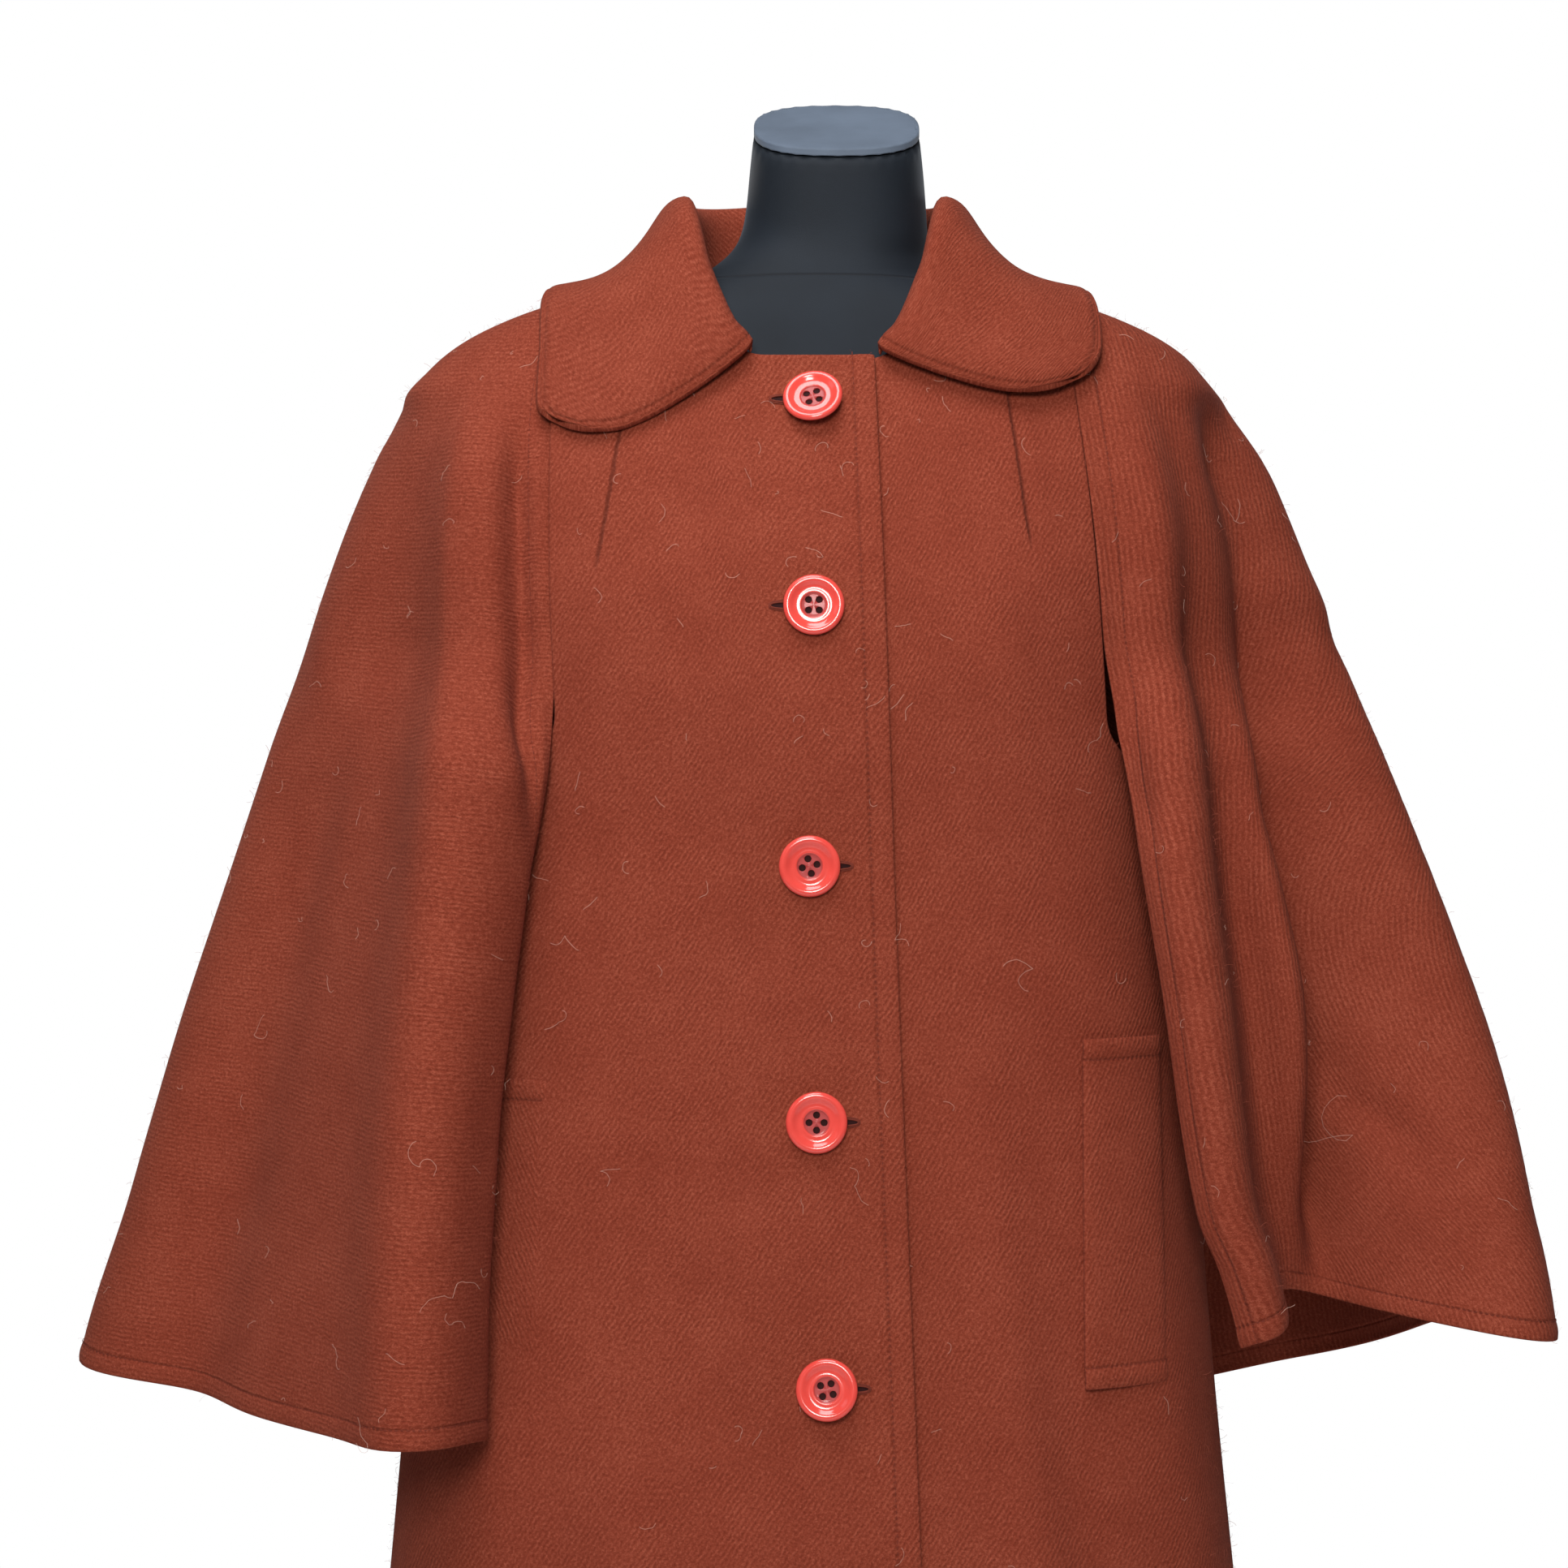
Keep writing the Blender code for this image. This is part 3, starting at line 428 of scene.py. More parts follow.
def outer_angle(side, z):
    """Where a front or the back ends: side seam, then armhole, then shoulder seam."""
    seam = at_height(FRONT_SEAM[side], "x", z)
    armhole = np.where(z < SEAM_TOP - 1e-6, angle_of(seam, z), math.pi / 2)
    return armhole + (math.pi / 2 - armhole) * smooth_step(UNDERARM + 0.04, UNDERARM - 0.03, z)


def spread(u, start, end):
    """The angle at a share u of the way over a panel, whose last part follows its uneven end."""
    return start + (STEADY_END - start) * u + (end - STEADY_END) * u ** 4


def neck_climb(u):
    """How far up the neckline lies at a share u of a front's top."""
    heights = np.linspace(NECK_FRONT, NECK_SIDE, 120)
    angles = angle_of(at_height(NECKLINE, "x", heights), heights)
    angles[-1] = math.pi / 2
    start = angle_of(-FRONT_EDGE["x"][-1], NECK_FRONT)
    height = np.interp(spread(u, start, math.pi / 2), angles, heights)
    return (height - NECK_FRONT) / (NECK_SIDE - NECK_FRONT)


def levels_up(low, high, step, near=(0.0,)):
    """Places from low to high about a step apart, with chosen places just above low."""
    first = [low + d for d in near]
    count = max(int((high - first[-1]) / step), 2)
    return np.array(first + list(np.linspace(first[-1], high, count + 1)[1:]))


def by_length(curve, head, tail, spans):
    """Points along a dense curve: at set distances from each end, and evenly between them."""
    run = lengths_along(curve)
    low, high = head[-1], run[-1] - tail[-1]
    middle = np.linspace(low, high, spans + 1)[1:-1]
    places = np.concatenate((head, middle, run[-1] - np.array(tail[::-1])))
    found = np.stack([np.interp(places, run, curve[:, k]) for k in range(3)], axis=-1)
    return found, places, run[-1]


def grid_normals(points):
    """Normals of a grid whose columns run left to right and rows run up, seen from outside."""
    return unit(np.cross(np.gradient(points, axis=1), np.gradient(points, axis=0)))


def crease(across, z, row):
    """A soft ridge, or a trough where the height is negative, that fades at both ends."""
    a0, z0, a1, z1, width, height = row
    run_a, run_z = a1 - a0, z1 - z0
    length = math.hypot(run_a, run_z)
    t = ((across - a0) * run_a + (z - z0) * run_z) / length ** 2
    off = ((across - a0) * run_z - (z - z0) * run_a) / length
    bend = off - 0.06 * length * np.sin(3.1 * t + 9.7 * a0)
    return height * bell(bend, width) * smooth_step(-0.05, 0.35, t) * smooth_step(1.05, 0.6, t)


def plump(distance, reach, height):
    """How far an edge swells between its end and the line of stitches that holds it."""
    t = np.clip(distance / reach, 0.0, 1.0)
    return height * np.sin(math.pi * t) ** 0.8


def grid_mesh(name, points, flip):
    """A mesh over a grid of points, and the corners of its faces. Flip turns its outside round."""
    rows, columns = points.shape[:2]
    corner = np.arange(rows * columns).reshape(rows, columns)
    faces = np.stack((corner[:-1, :-1], corner[:-1, 1:], corner[1:, 1:], corner[1:, :-1]), axis=-1)
    faces = faces.reshape(-1, 4)
    if flip:
        faces = faces[:, ::-1]
    data = bpy.data.meshes.new(name)
    data.from_pydata(points.reshape(-1, 3).tolist(), [], faces.tolist())
    return data, faces


def cloth_piece(name, points, maps, thickness, material, node_name, flip=False):
    """A thin shell with rounded edges over a grid of points, its outside on the grid."""
    data, faces = grid_mesh(name, points, flip)
    for label, (first, second) in maps.items():
        layer = data.uv_layers.new(name=label)
        values = np.stack(np.broadcast_arrays(first, second), axis=-1).reshape(-1, 2)
        layer.data.foreach_set("uv", values[faces.ravel()].astype(np.float32).ravel())
    data.shade_smooth()
    data.materials.append(material)
    made = in_scene(name, data)
    wall = made.modifiers.new("thickness", "SOLIDIFY")
    wall.thickness = thickness
    wall.offset = -1
    wall.use_quality_normals = True
    round_off(made, 1)
    return stand_for(made, node_name)


# What the cloth looks like: twill ribs under a brushed nap, with paler and darker wool mixed in.
STITCH_PITCH = 0.0034
TWILL_PITCH = 0.0029
CLOTH_WALL = 0.0032
RIB_WANDER = 0.0035
EULER = 2.718
DART_WANDER = 0.0016
DART_GROOVE = 0.0011
DART_FADE = 0.012
# Colour of the painted shade along each dart's sewn crease.
DART_PAINTED_SHADE = (0.05, 0.008, 0.005)
WOOL_DARK = (0.150, 0.024, 0.012)
WOOL = (0.245, 0.046, 0.024)
WOOL_PALE = (0.400, 0.105, 0.062)


def groove(tree, off, half_width):
    """1 on a line and 0 well beside it."""
    near = math_of(tree, "DIVIDE", off, half_width)
    fall = math_of(tree, "MULTIPLY", math_of(tree, "MULTIPLY", near, near), -1.0)
    return math_of(tree, "POWER", EULER, fall)


def wool_twill(name, rib_angle, rib_pitch, rib_depth, lines=(), darts=()):
    """Felted twill. Lines are stitched grooves at set distances read from the edge map.

    Each line is the map's axis, the distance and the groove's half width, and each dart the two
    ends of a sewn crease in the cloth map.
    """
    made, tree, shader = new_material(name, 0.95, 0.06)
    cloth = node(tree, "ShaderNodeUVMap", uv_map="cloth").outputs[0]
    place = here(tree)
    flat = node(tree, "ShaderNodeSeparateXYZ", {0: cloth})
    warp = noise(tree, cloth, 160, 2)
    turn = math.radians(rib_angle)
    across = math_of(tree, "MULTIPLY", flat.outputs["X"], math.sin(turn))
    across = math_of(tree, "MULTIPLY_ADD", flat.outputs["Y"], -math.cos(turn), across)
    across = math_of(tree, "MULTIPLY_ADD", warp, RIB_WANDER, across)
    ribs = math_of(tree, "SINE", math_of(tree, "MULTIPLY", across, 2 * math.pi / rib_pitch))
    felt = noise(tree, cloth, 520, 6, Roughness=0.78)
    hair = noise(tree, cloth, 1300, 3, Distortion=2.2)
    patch = noise(tree, place, 34, 5, Roughness=0.6)
    worn = noise(tree, place, 7, 3)
    rib_part = noise(tree, cloth, 55, 3)
    ribs = math_of(tree, "MULTIPLY", ribs, graded(tree, rib_part, 0.35, 0.65, 0.35, 1.0))

    tone = math_of(tree, "MULTIPLY_ADD", ribs, 0.085 * rib_depth, 0.5)
    for spots, share in ((felt, 1.25), (hair, 1.2), (patch, 0.22), (worn, 0.16)):
        tone = math_of(tree, "MULTIPLY_ADD", math_of(tree, "SUBTRACT", spots, 0.5), share, tone)
    ramp = node(tree, "ShaderNodeValToRGB", {0: tone})
    dark, pale = ramp.color_ramp.elements
    dark.position, dark.color = 0.22, (*WOOL_DARK, 1)
    pale.position, pale.color = 0.86, (*WOOL_PALE, 1)
    ramp.color_ramp.elements.new(0.52).color = (*WOOL, 1)
    colour = ramp.outputs[0]

    relief = math_of(tree, "MULTIPLY", ribs, 0.75 * rib_depth)
    relief = math_of(tree, "MULTIPLY_ADD", felt, 1.2, relief)
    relief = math_of(tree, "MULTIPLY_ADD", hair, 1.3, relief)
    edge = map_parts(tree, "edge")
    for axis, distance, half_width in lines:
        fall = groove(tree, math_of(tree, "SUBTRACT", edge[axis], distance), half_width)
        length = flat.outputs["Y" if axis == "X" else "X"]
        pull = math_of(tree, "SINE", math_of(tree, "MULTIPLY", length, 2 * math.pi / STITCH_PITCH))
        fall = math_of(tree, "MULTIPLY", fall, math_of(tree, "MULTIPLY_ADD", pull, 0.22, 0.72))
        relief = math_of(tree, "MULTIPLY_ADD", fall, -5.0, relief)
        # The groove is also painted darker: painted shade in the stitched dimple.
        colour = blend_of(tree, math_of(tree, "MULTIPLY", fall, 0.24), colour, (*WOOL_DARK, 1))
    for (x0, z0), (x1, z1) in darts:
        length = math.hypot(x1 - x0, z1 - z0)
        way_x, way_z = (x1 - x0) / length, (z1 - z0) / length
        from_x = math_of(tree, "SUBTRACT", flat.outputs["X"], x0)
        from_z = math_of(tree, "SUBTRACT", flat.outputs["Y"], z0)
        far = math_of(tree, "MULTIPLY_ADD", from_z, way_z, math_of(tree, "MULTIPLY", from_x, way_x))
        off = math_of(tree, "MULTIPLY_ADD", from_z, -way_x, math_of(tree, "MULTIPLY", from_x, way_z))
        off = math_of(tree, "MULTIPLY_ADD", math_of(tree, "SUBTRACT", warp, 0.5), DART_WANDER, off)
        held = graded(tree, far, length, length - DART_FADE, 0.0, 1.0)
        fall = math_of(tree, "MULTIPLY", groove(tree, off, DART_GROOVE), held)
        relief = math_of(tree, "MULTIPLY_ADD", fall, -7.0, relief)
        # The dart's crease is also painted darker: painted shade.
        colour = blend_of(tree, math_of(tree, "MULTIPLY", fall, 0.50), colour, (*DART_PAINTED_SHADE, 1))
    tree.links.new(colour, shader.inputs["Base Color"])
    give_bump(tree, shader, relief, 0.75, 0.00028)
    give_sheen(shader, 0.035, 0.5, (1.0, 0.55, 0.45))
    return made


FRONT_STITCH = 0.014
HEM_STITCH = 0.0125
EDGE_STEPS = (0.0, 0.002, 0.0045, 0.007, 0.0095, 0.012, FRONT_STITCH, 0.016, 0.019, 0.024, 0.031)
SEAM_STEPS = (0.0, 0.002, 0.005, 0.010)
HEM_STEPS = (0.0, 0.002, 0.0045, 0.007, 0.010, HEM_STITCH, 0.015, 0.019, 0.025, 0.033)
# Soft drags and ridges: the two ends as x and height, then the width and the rise.
FRONT_CREASES = {
    -1: ((-0.046, 0.850, -0.020, 0.715, 0.020, 0.0028), (-0.070, 0.830, -0.052, 0.700, 0.022, -0.0024),
         (-0.120, 0.720, -0.105, 0.430, 0.028, 0.0045), (-0.160, 0.700, -0.170, 0.430, 0.026, -0.0040),
         (-0.020, 1.020, -0.060, 0.930, 0.018, -0.0016), (-0.085, 1.140, -0.060, 1.020, 0.026, -0.0022),
         (-0.105, 1.230, -0.120, 1.130, 0.022, 0.0024), (-0.030, 0.690, -0.060, 0.560, 0.024, 0.0022),
         (-0.205, 0.760, -0.225, 0.450, 0.024, 0.0050)),
    1: ((0.128, 1.000, 0.133, 0.450, 0.018, 0.0050), (0.098, 0.960, 0.098, 0.470, 0.020, -0.0030),
        (0.158, 0.780, 0.172, 0.440, 0.022, -0.0045), (0.205, 0.860, 0.222, 0.450, 0.024, 0.0050),
        (0.075, 1.160, 0.105, 1.060, 0.022, -0.0022), (0.120, 1.225, 0.108, 1.130, 0.022, 0.0026),
        (0.060, 0.900, 0.072, 0.780, 0.020, 0.0016), (0.058, 1.280, 0.070, 1.180, 0.024, -0.0014)),
}
DARTS = {-1: ((-0.1165, 1.300), (-0.1295, 1.214)), 1: ((0.1165, 1.330), (0.1300, 1.228))}


def front_grid(side):
    """Points of a front, their distance from the front edge, and from the hem."""
    u = np.linspace(0, 1, 400)
    climb = neck_climb(u)
    up = (levels_up(COAT_HEM, 1.33, 0.0085, HEM_STEPS) - COAT_HEM) / (NECK_SIDE - COAT_HEM)
    up = np.concatenate((up, (np.linspace(1.334, NECK_SIDE, 22) - COAT_HEM) / (NECK_SIDE - COAT_HEM)))
    rows = []
    runs = []
    for level in up:
        z_side = COAT_HEM + (NECK_SIDE - COAT_HEM) * level
        z_edge = COAT_HEM + (NECK_FRONT - COAT_HEM) * level
        z = z_edge + (z_side - z_edge) * climb
        start = angle_of(-at_height(FRONT_EDGE, "x", z_edge), z_edge)
        angle = spread(u, start, outer_angle(side, z_side))
        place = body_at(angle, z)
        edge = at_height(FRONT_EDGE, "x", z)
        lap = LAP + EASE if side < 0 else 0.0
        out = lap * smooth_step(edge + 0.055, edge + 0.015, side * place[:, 0])
        place = place + out[:, None] * body_normal(angle, z)
        place[:, 0] *= side
        found, places, _ = by_length(place, EDGE_STEPS, SEAM_STEPS, 34)
        rows.append(found)
        runs.append(places)
    return np.array(rows), np.array(runs), up


def add_front(side, name):
    """A front with its swollen edge, its soft drags and its dart."""
    points, run, up = front_grid(side)
    normal = side * grid_normals(points)
    x, z = points[..., 0], points[..., 2]
    hem = np.broadcast_to((up * (NECK_SIDE - COAT_HEM))[:, None], run.shape)
    rise = sum(crease(x, z, row) for row in FRONT_CREASES[side])
    rise = rise * smooth_step(0.0, 0.05, run)
    rise = rise + plump(run, FRONT_STITCH, 0.0009) + plump(hem, HEM_STITCH, 0.0008)
    (x0, z0), (x1, z1) = DARTS[side]
    beside = np.abs(x - (x0 + (x1 - x0) * (z - z0) / (z1 - z0)))
    rise = rise + 0.0012 * bell(beside - 0.007, 0.005) * smooth_step(z1 - 0.02, z1 + 0.05, z)
    points = points + normal * rise[..., None]
    lines = (("X", FRONT_STITCH, 0.0011), ("Y", HEM_STITCH, 0.0010))
    unrolled = side * (run - at_height(FRONT_EDGE, "x", z))
    dart = []
    for end_x, end_z in DARTS[side]:
        nearest = np.argmin((x - end_x) ** 2 + (z - end_z) ** 2)
        dart.append((float(unrolled.flat[nearest]), end_z))
    wool = wool_twill("wool_" + name, 58 if side > 0 else 56, TWILL_PITCH, 1.0, lines, (dart,))
    made = cloth_piece(name + "_cloth", points, {"cloth": (unrolled, z), "edge": (run, hem)},
                       CLOTH_WALL, wool, name, flip=side < 0)
    return points, normal


def paths_mesh(name, paths):
    """A mesh of edges alone, one chain for each path."""
    points = np.concatenate(paths)
    edges = []
    first = 0
    for path in paths:
        edges += [(first + i, first + i + 1) for i in range(len(path) - 1)]
        first += len(path)
    data = bpy.data.meshes.new(name)
    data.from_pydata(points.tolist(), edges, [])
    return data


def tree_with(name, sockets):
    """A Geometry Nodes tree with named inputs, its group input, and the inputs' identifiers."""
    tree = bpy.data.node_groups.new(name, "GeometryNodeTree")
    tree.interface.new_socket("Source", in_out="INPUT", socket_type="NodeSocketGeometry")
    known = {}
    for label, kind in sockets:
        known[label] = tree.interface.new_socket(label, in_out="INPUT", socket_type=kind).identifier
    tree.interface.new_socket("Made", in_out="OUTPUT", socket_type="NodeSocketGeometry")
    return tree, tree.nodes.new("NodeGroupInput"), known


def finish_tree(tree, given, geometry):
    """Real faces with their material, as the tree's result."""
    real = node(tree, "GeometryNodeRealizeInstances", {0: geometry})
    dressed = node(tree, "GeometryNodeSetMaterial", {"Geometry": real.outputs[0],
                                                     "Material": given.outputs["Finish"]})
    tree.links.new(dressed.outputs[0], tree.nodes.new("NodeGroupOutput").inputs[0])


def stitches_tree():
    """Stitches at an even pitch along paths, each a small grain of thread laid along its path."""
    tree, given, known = tree_with("thread_stitches", (
        ("Pitch", "NodeSocketFloat"), ("Length", "NodeSocketFloat"), ("Thread", "NodeSocketFloat"),
        ("Seed", "NodeSocketInt"), ("Finish", "NodeSocketMaterial")))
    curve = node(tree, "GeometryNodeMeshToCurve", {0: given.outputs["Source"]})
    even = node(tree, "GeometryNodeResampleCurve",
                {"Curve": curve.outputs[0], "Length": given.outputs["Pitch"]}, mode="LENGTH")
    grain = node(tree, "GeometryNodeMeshUVSphere", {"Segments": 5, "Rings": 4, "Radius": 0.5})
    tangent = node(tree, "GeometryNodeInputTangent")
    turn = node(tree, "FunctionNodeAlignRotationToVector", {"Vector": tangent.outputs[0]}, axis="Z")
    vary = node(tree, "FunctionNodeRandomValue",
                {2: 0.82, 3: 1.12, "Seed": given.outputs["Seed"]}, data_type="FLOAT")
    length = math_of(tree, "MULTIPLY", given.outputs["Length"], vary.outputs[1])
    scale = node(tree, "ShaderNodeCombineXYZ",
                 {0: given.outputs["Thread"], 1: given.outputs["Thread"], 2: length})
    laid = node(tree, "GeometryNodeInstanceOnPoints",
                {"Points": even.outputs[0], "Instance": grain.outputs[0], "Rotation": turn.outputs[0],
                 "Scale": scale.outputs[0]})
    finish_tree(tree, given, laid.outputs[0])
    return tree, known


def threads_tree():
    """Paths as thin round threads."""
    tree, given, known = tree_with("thin_threads", (
        ("Thread", "NodeSocketFloat"), ("Sides", "NodeSocketInt"), ("Finish", "NodeSocketMaterial")))
    curve = node(tree, "GeometryNodeMeshToCurve", {0: given.outputs["Source"]})
    ring = node(tree, "GeometryNodeCurvePrimitiveCircle", {"Resolution": given.outputs["Sides"],
                                                           "Radius": given.outputs["Thread"]})
    tube = node(tree, "GeometryNodeCurveToMesh", {"Curve": curve.outputs[0], "Profile Curve": ring.outputs[0],
                                                  "Fill Caps": True})
    smooth = node(tree, "GeometryNodeSetShadeSmooth", {0: tube.outputs[0]})
    finish_tree(tree, given, smooth.outputs[0])
    return tree, known


def nap_tree():
    """Short bent fibres that stand out of cloth at random and lean over."""
    tree, given, known = tree_with("nap_fibres", (
        ("Density", "NodeSocketFloat"), ("Length", "NodeSocketFloat"), ("Thread", "NodeSocketFloat"),
        ("Seed", "NodeSocketInt"), ("Finish", "NodeSocketMaterial")))
    spots = node(tree, "GeometryNodeDistributePointsOnFaces",
                 {"Mesh": given.outputs["Source"], "Density": given.outputs["Density"],
                  "Seed": given.outputs["Seed"]}, distribute_method="RANDOM")
    bow = node(tree, "GeometryNodeCurveQuadraticBezier", {"Resolution": 2, "Start": (0, 0, 0),
               "Middle": (0.10, 0, 0.6), "End": (0.55, 0.1, 0.9)})
    blade = node(tree, "GeometryNodeCurvePrimitiveLine", {"Start": (0, -0.5, 0), "End": (0, 0.5, 0)})
    across = math_of(tree, "DIVIDE", given.outputs["Thread"], given.outputs["Length"])
    wide = node(tree, "GeometryNodeTransform", {"Geometry": blade.outputs[0],
                "Scale": node(tree, "ShaderNodeCombineXYZ", {0: across, 1: across, 2: across}).outputs[0]})
    fibre = node(tree, "GeometryNodeCurveToMesh", {"Curve": bow.outputs[0], "Profile Curve": wide.outputs[0]})
    lean = node(tree, "FunctionNodeRandomValue", {0: (-1.3, -1.3, 0.0), 1: (1.3, 1.3, 6.28),
                "Seed": given.outputs["Seed"]}, data_type="FLOAT_VECTOR")
    turn = node(tree, "FunctionNodeRotateRotation", {0: spots.outputs["Rotation"], 1: lean.outputs[0]},
                rotation_space="LOCAL")
    vary = node(tree, "FunctionNodeRandomValue",
                {2: 0.5, 3: 1.3, "Seed": given.outputs["Seed"]}, data_type="FLOAT")
    size = math_of(tree, "MULTIPLY", given.outputs["Length"], vary.outputs[1])
    stood = node(tree, "GeometryNodeInstanceOnPoints", {"Points": spots.outputs["Points"],
                 "Instance": fibre.outputs[0], "Rotation": turn.outputs[0], "Scale": size})
    finish_tree(tree, given, stood.outputs[0])
    return tree, known


STITCHES = stitches_tree()
THREADS = threads_tree()
NAP = nap_tree()


def grown(name, source, made_by, values):
    """Runs a tree on a mesh, keeps its result as a plain mesh, and hangs that on the coat."""
    tree, known = made_by
    start = in_scene(name + "_source", source)
    grow = start.modifiers.new("grow", "NODES")
    grow.node_group = tree
    for label, value in values.items():
        grow[known[label]] = value
    start.update_tag()
    done = start.evaluated_get(bpy.context.evaluated_depsgraph_get())
    data = bpy.data.meshes.new_from_object(done)
    bpy.data.objects.remove(start)
    made = in_scene(name, data)
    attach(made, "root")


def plain_thread(name, colour, roughness=0.85):
    """Thread or loose wool of one dye, a little uneven."""
    made, tree, shader = new_material(name, roughness, 0.2)
    place = here(tree)
    uneven = noise(tree, place, 300, 2)
    dark = tuple(0.6 * c for c in colour)
    pale = tuple(min(1.25 * c, 1.0) for c in colour)
    tree.links.new(blend_of(tree, uneven, (*dark, 1), (*pale, 1)), shader.inputs["Base Color"])
    return made


THREAD_DYE = plain_thread("sewing_thread", (0.175, 0.032, 0.018))
NAP_WOOL = plain_thread("nap_wool", (0.36, 0.085, 0.050), 0.95)
LINT = plain_thread("pale_lint", (0.80, 0.50, 0.40), 0.9)


def add_stitches(name, paths):
    """Rows of stitches sunk a little into the cloth."""
    values = {"Pitch": STITCH_PITCH, "Length": 0.0026, "Thread": 0.00062, "Seed": 3, "Finish": THREAD_DYE}
    grown(name, paths_mesh(name + "_path", paths), STITCHES, values)


def add_nap(name, points, flip, density):
    """Loose fibres that stand off the outside of a piece of cloth."""
    values = {"Density": density, "Length": 0.0042, "Thread": 0.00011, "Seed": len(name), "Finish": NAP_WOOL}
    grown(name, grid_mesh(name + "_face", points, flip)[0], NAP, values)


NAP_DENSITY = 11000
THREAD_LIFT = 0.0001
FRONT_COLUMN = EDGE_STEPS.index(FRONT_STITCH)
HEM_ROW = HEM_STEPS.index(HEM_STITCH)
front_points = {}
for side, name in ((-1, "front_right"), (1, "front_left")):
    points, normal = add_front(side, name)
    front_points[side] = points, normal
    seam = points + THREAD_LIFT * normal
    add_stitches(name + "_stitches", [seam[:, FRONT_COLUMN], seam[HEM_ROW, FRONT_COLUMN:]])
    add_nap(name + "_nap", points, side < 0, NAP_DENSITY)


# The back is one piece of the same wool. It lies under the cape down to the cape's hem.
# Its sides are sewn to the fronts below the armholes.
def add_back():
    """The back, from the wearer's right side seam round to the left one, seen from behind."""
    rows = []
    up = levels_up(COAT_HEM, NECK_SIDE, 0.014, HEM_STEPS)
    for z_side in up:
        top = (z_side - COAT_HEM) / (NECK_SIDE - COAT_HEM)
        z_low = min(z_side, NECK_SIDE - 0.006)
        z_centre = COAT_HEM + (NECK_BACK - 0.009 - COAT_HEM) * top
        depth = (LAP + GAP) * smooth_step(UNDERARM + 0.005, UNDERARM + 0.075, z_side)
        place = np.linspace(-1, 1, 161)
        u = 1 - (1 - np.abs(place)) ** 1.5
        end = np.where(place <= 0, outer_angle(1, z_side), outer_angle(-1, z_side))
        angle = math.pi - u * end
        z = z_low + (z_centre - z_low) * (1 - u) ** 0.6
        row = body_at(angle, z) - depth * body_normal(angle, z)
        row[:, 1] += GAP / 2 * (u == 1.0)
        row[:, 0] *= np.where(place <= 0, 1, -1)
        rows.append(by_length(row, SEAM_STEPS, SEAM_STEPS, 44)[0])
    points = np.array(rows)
    normal = grid_normals(points)
    hem = np.broadcast_to((up - COAT_HEM)[:, None], points.shape[:2])
    x, z = points[..., 0], points[..., 2]
    folds = ((-0.13, 0.80, -0.15, 0.43, 0.030, 0.006), (0.12, 0.82, 0.15, 0.43, 0.030, 0.006),
             (0.0, 0.80, 0.0, 0.43, 0.035, -0.005), (-0.21, 0.75, -0.23, 0.44, 0.025, -0.005),
             (0.20, 0.75, 0.22, 0.44, 0.025, -0.005))
    rise = sum(crease(x, z, row) for row in folds) + plump(hem, HEM_STITCH, 0.0008)
    points = points + normal * rise[..., None]
    unrolled = lengths_along(points)
    unrolled = unrolled - unrolled[:, unrolled.shape[1] // 2][:, None]
    wool = wool_twill("wool_back", 58, TWILL_PITCH, 1.0, (("Y", HEM_STITCH, 0.0010),))
    made = cloth_piece("back_cloth", points, {"cloth": (unrolled, z), "edge": (np.abs(unrolled), hem)},
                       CLOTH_WALL, wool, "back")
    return points


back_points = add_back()
add_stitches("back_stitches", [back_points[HEM_ROW]])
add_nap("back_nap", back_points, False, NAP_DENSITY / 2)


# The cape is cut in two halves that meet at the centre back. Each is sewn to a front down to
# the chest, goes over the shoulder and hangs free, open below the seam so that the arm can
# come out. Its hem is turned up and stitched.
CAPE = {
    "z": (0.64, 0.74, 0.84, 0.94, 1.04, 1.14, 1.20, 1.25, 1.30, 1.33),
    "half_width": (0.468, 0.450, 0.420, 0.393, 0.362, 0.333, 0.315, 0.298, 0.277, 0.261),
    "back": (0.238, 0.226, 0.212, 0.198, 0.184, 0.168, 0.158, 0.149, 0.136, 0.125),
    "side": (0.010, 0.010, 0.010, 0.010, 0.010, 0.009, 0.009, 0.008, 0.008, 0.008),
}
SLIT_EDGE = {
    1: {"z": (0.70, 0.76, 0.805, 0.834, 0.98, 1.12),
        "x": (0.262, 0.251, 0.239, 0.227, 0.205, 0.1812),
        "y": (-0.130, -0.130, -0.129, -0.127, -0.119, -0.1072)},
    -1: {"z": (0.70, 0.80, 0.90, 1.00, 1.06, 1.12),
         "x": (0.194, 0.191, 0.184, 0.172, 0.164, 0.1569),
         "y": (-0.136, -0.133, -0.130, -0.127, -0.126, -0.1251)},
}
SLIT_WAY = {1: (0.94, -0.10), -1: (0.42, -0.24)}
FOLD_COLUMNS = ("top", "middle", "low", "width_top", "width_low", "rise_top", "rise_middle",
                "rise_low", "lean")
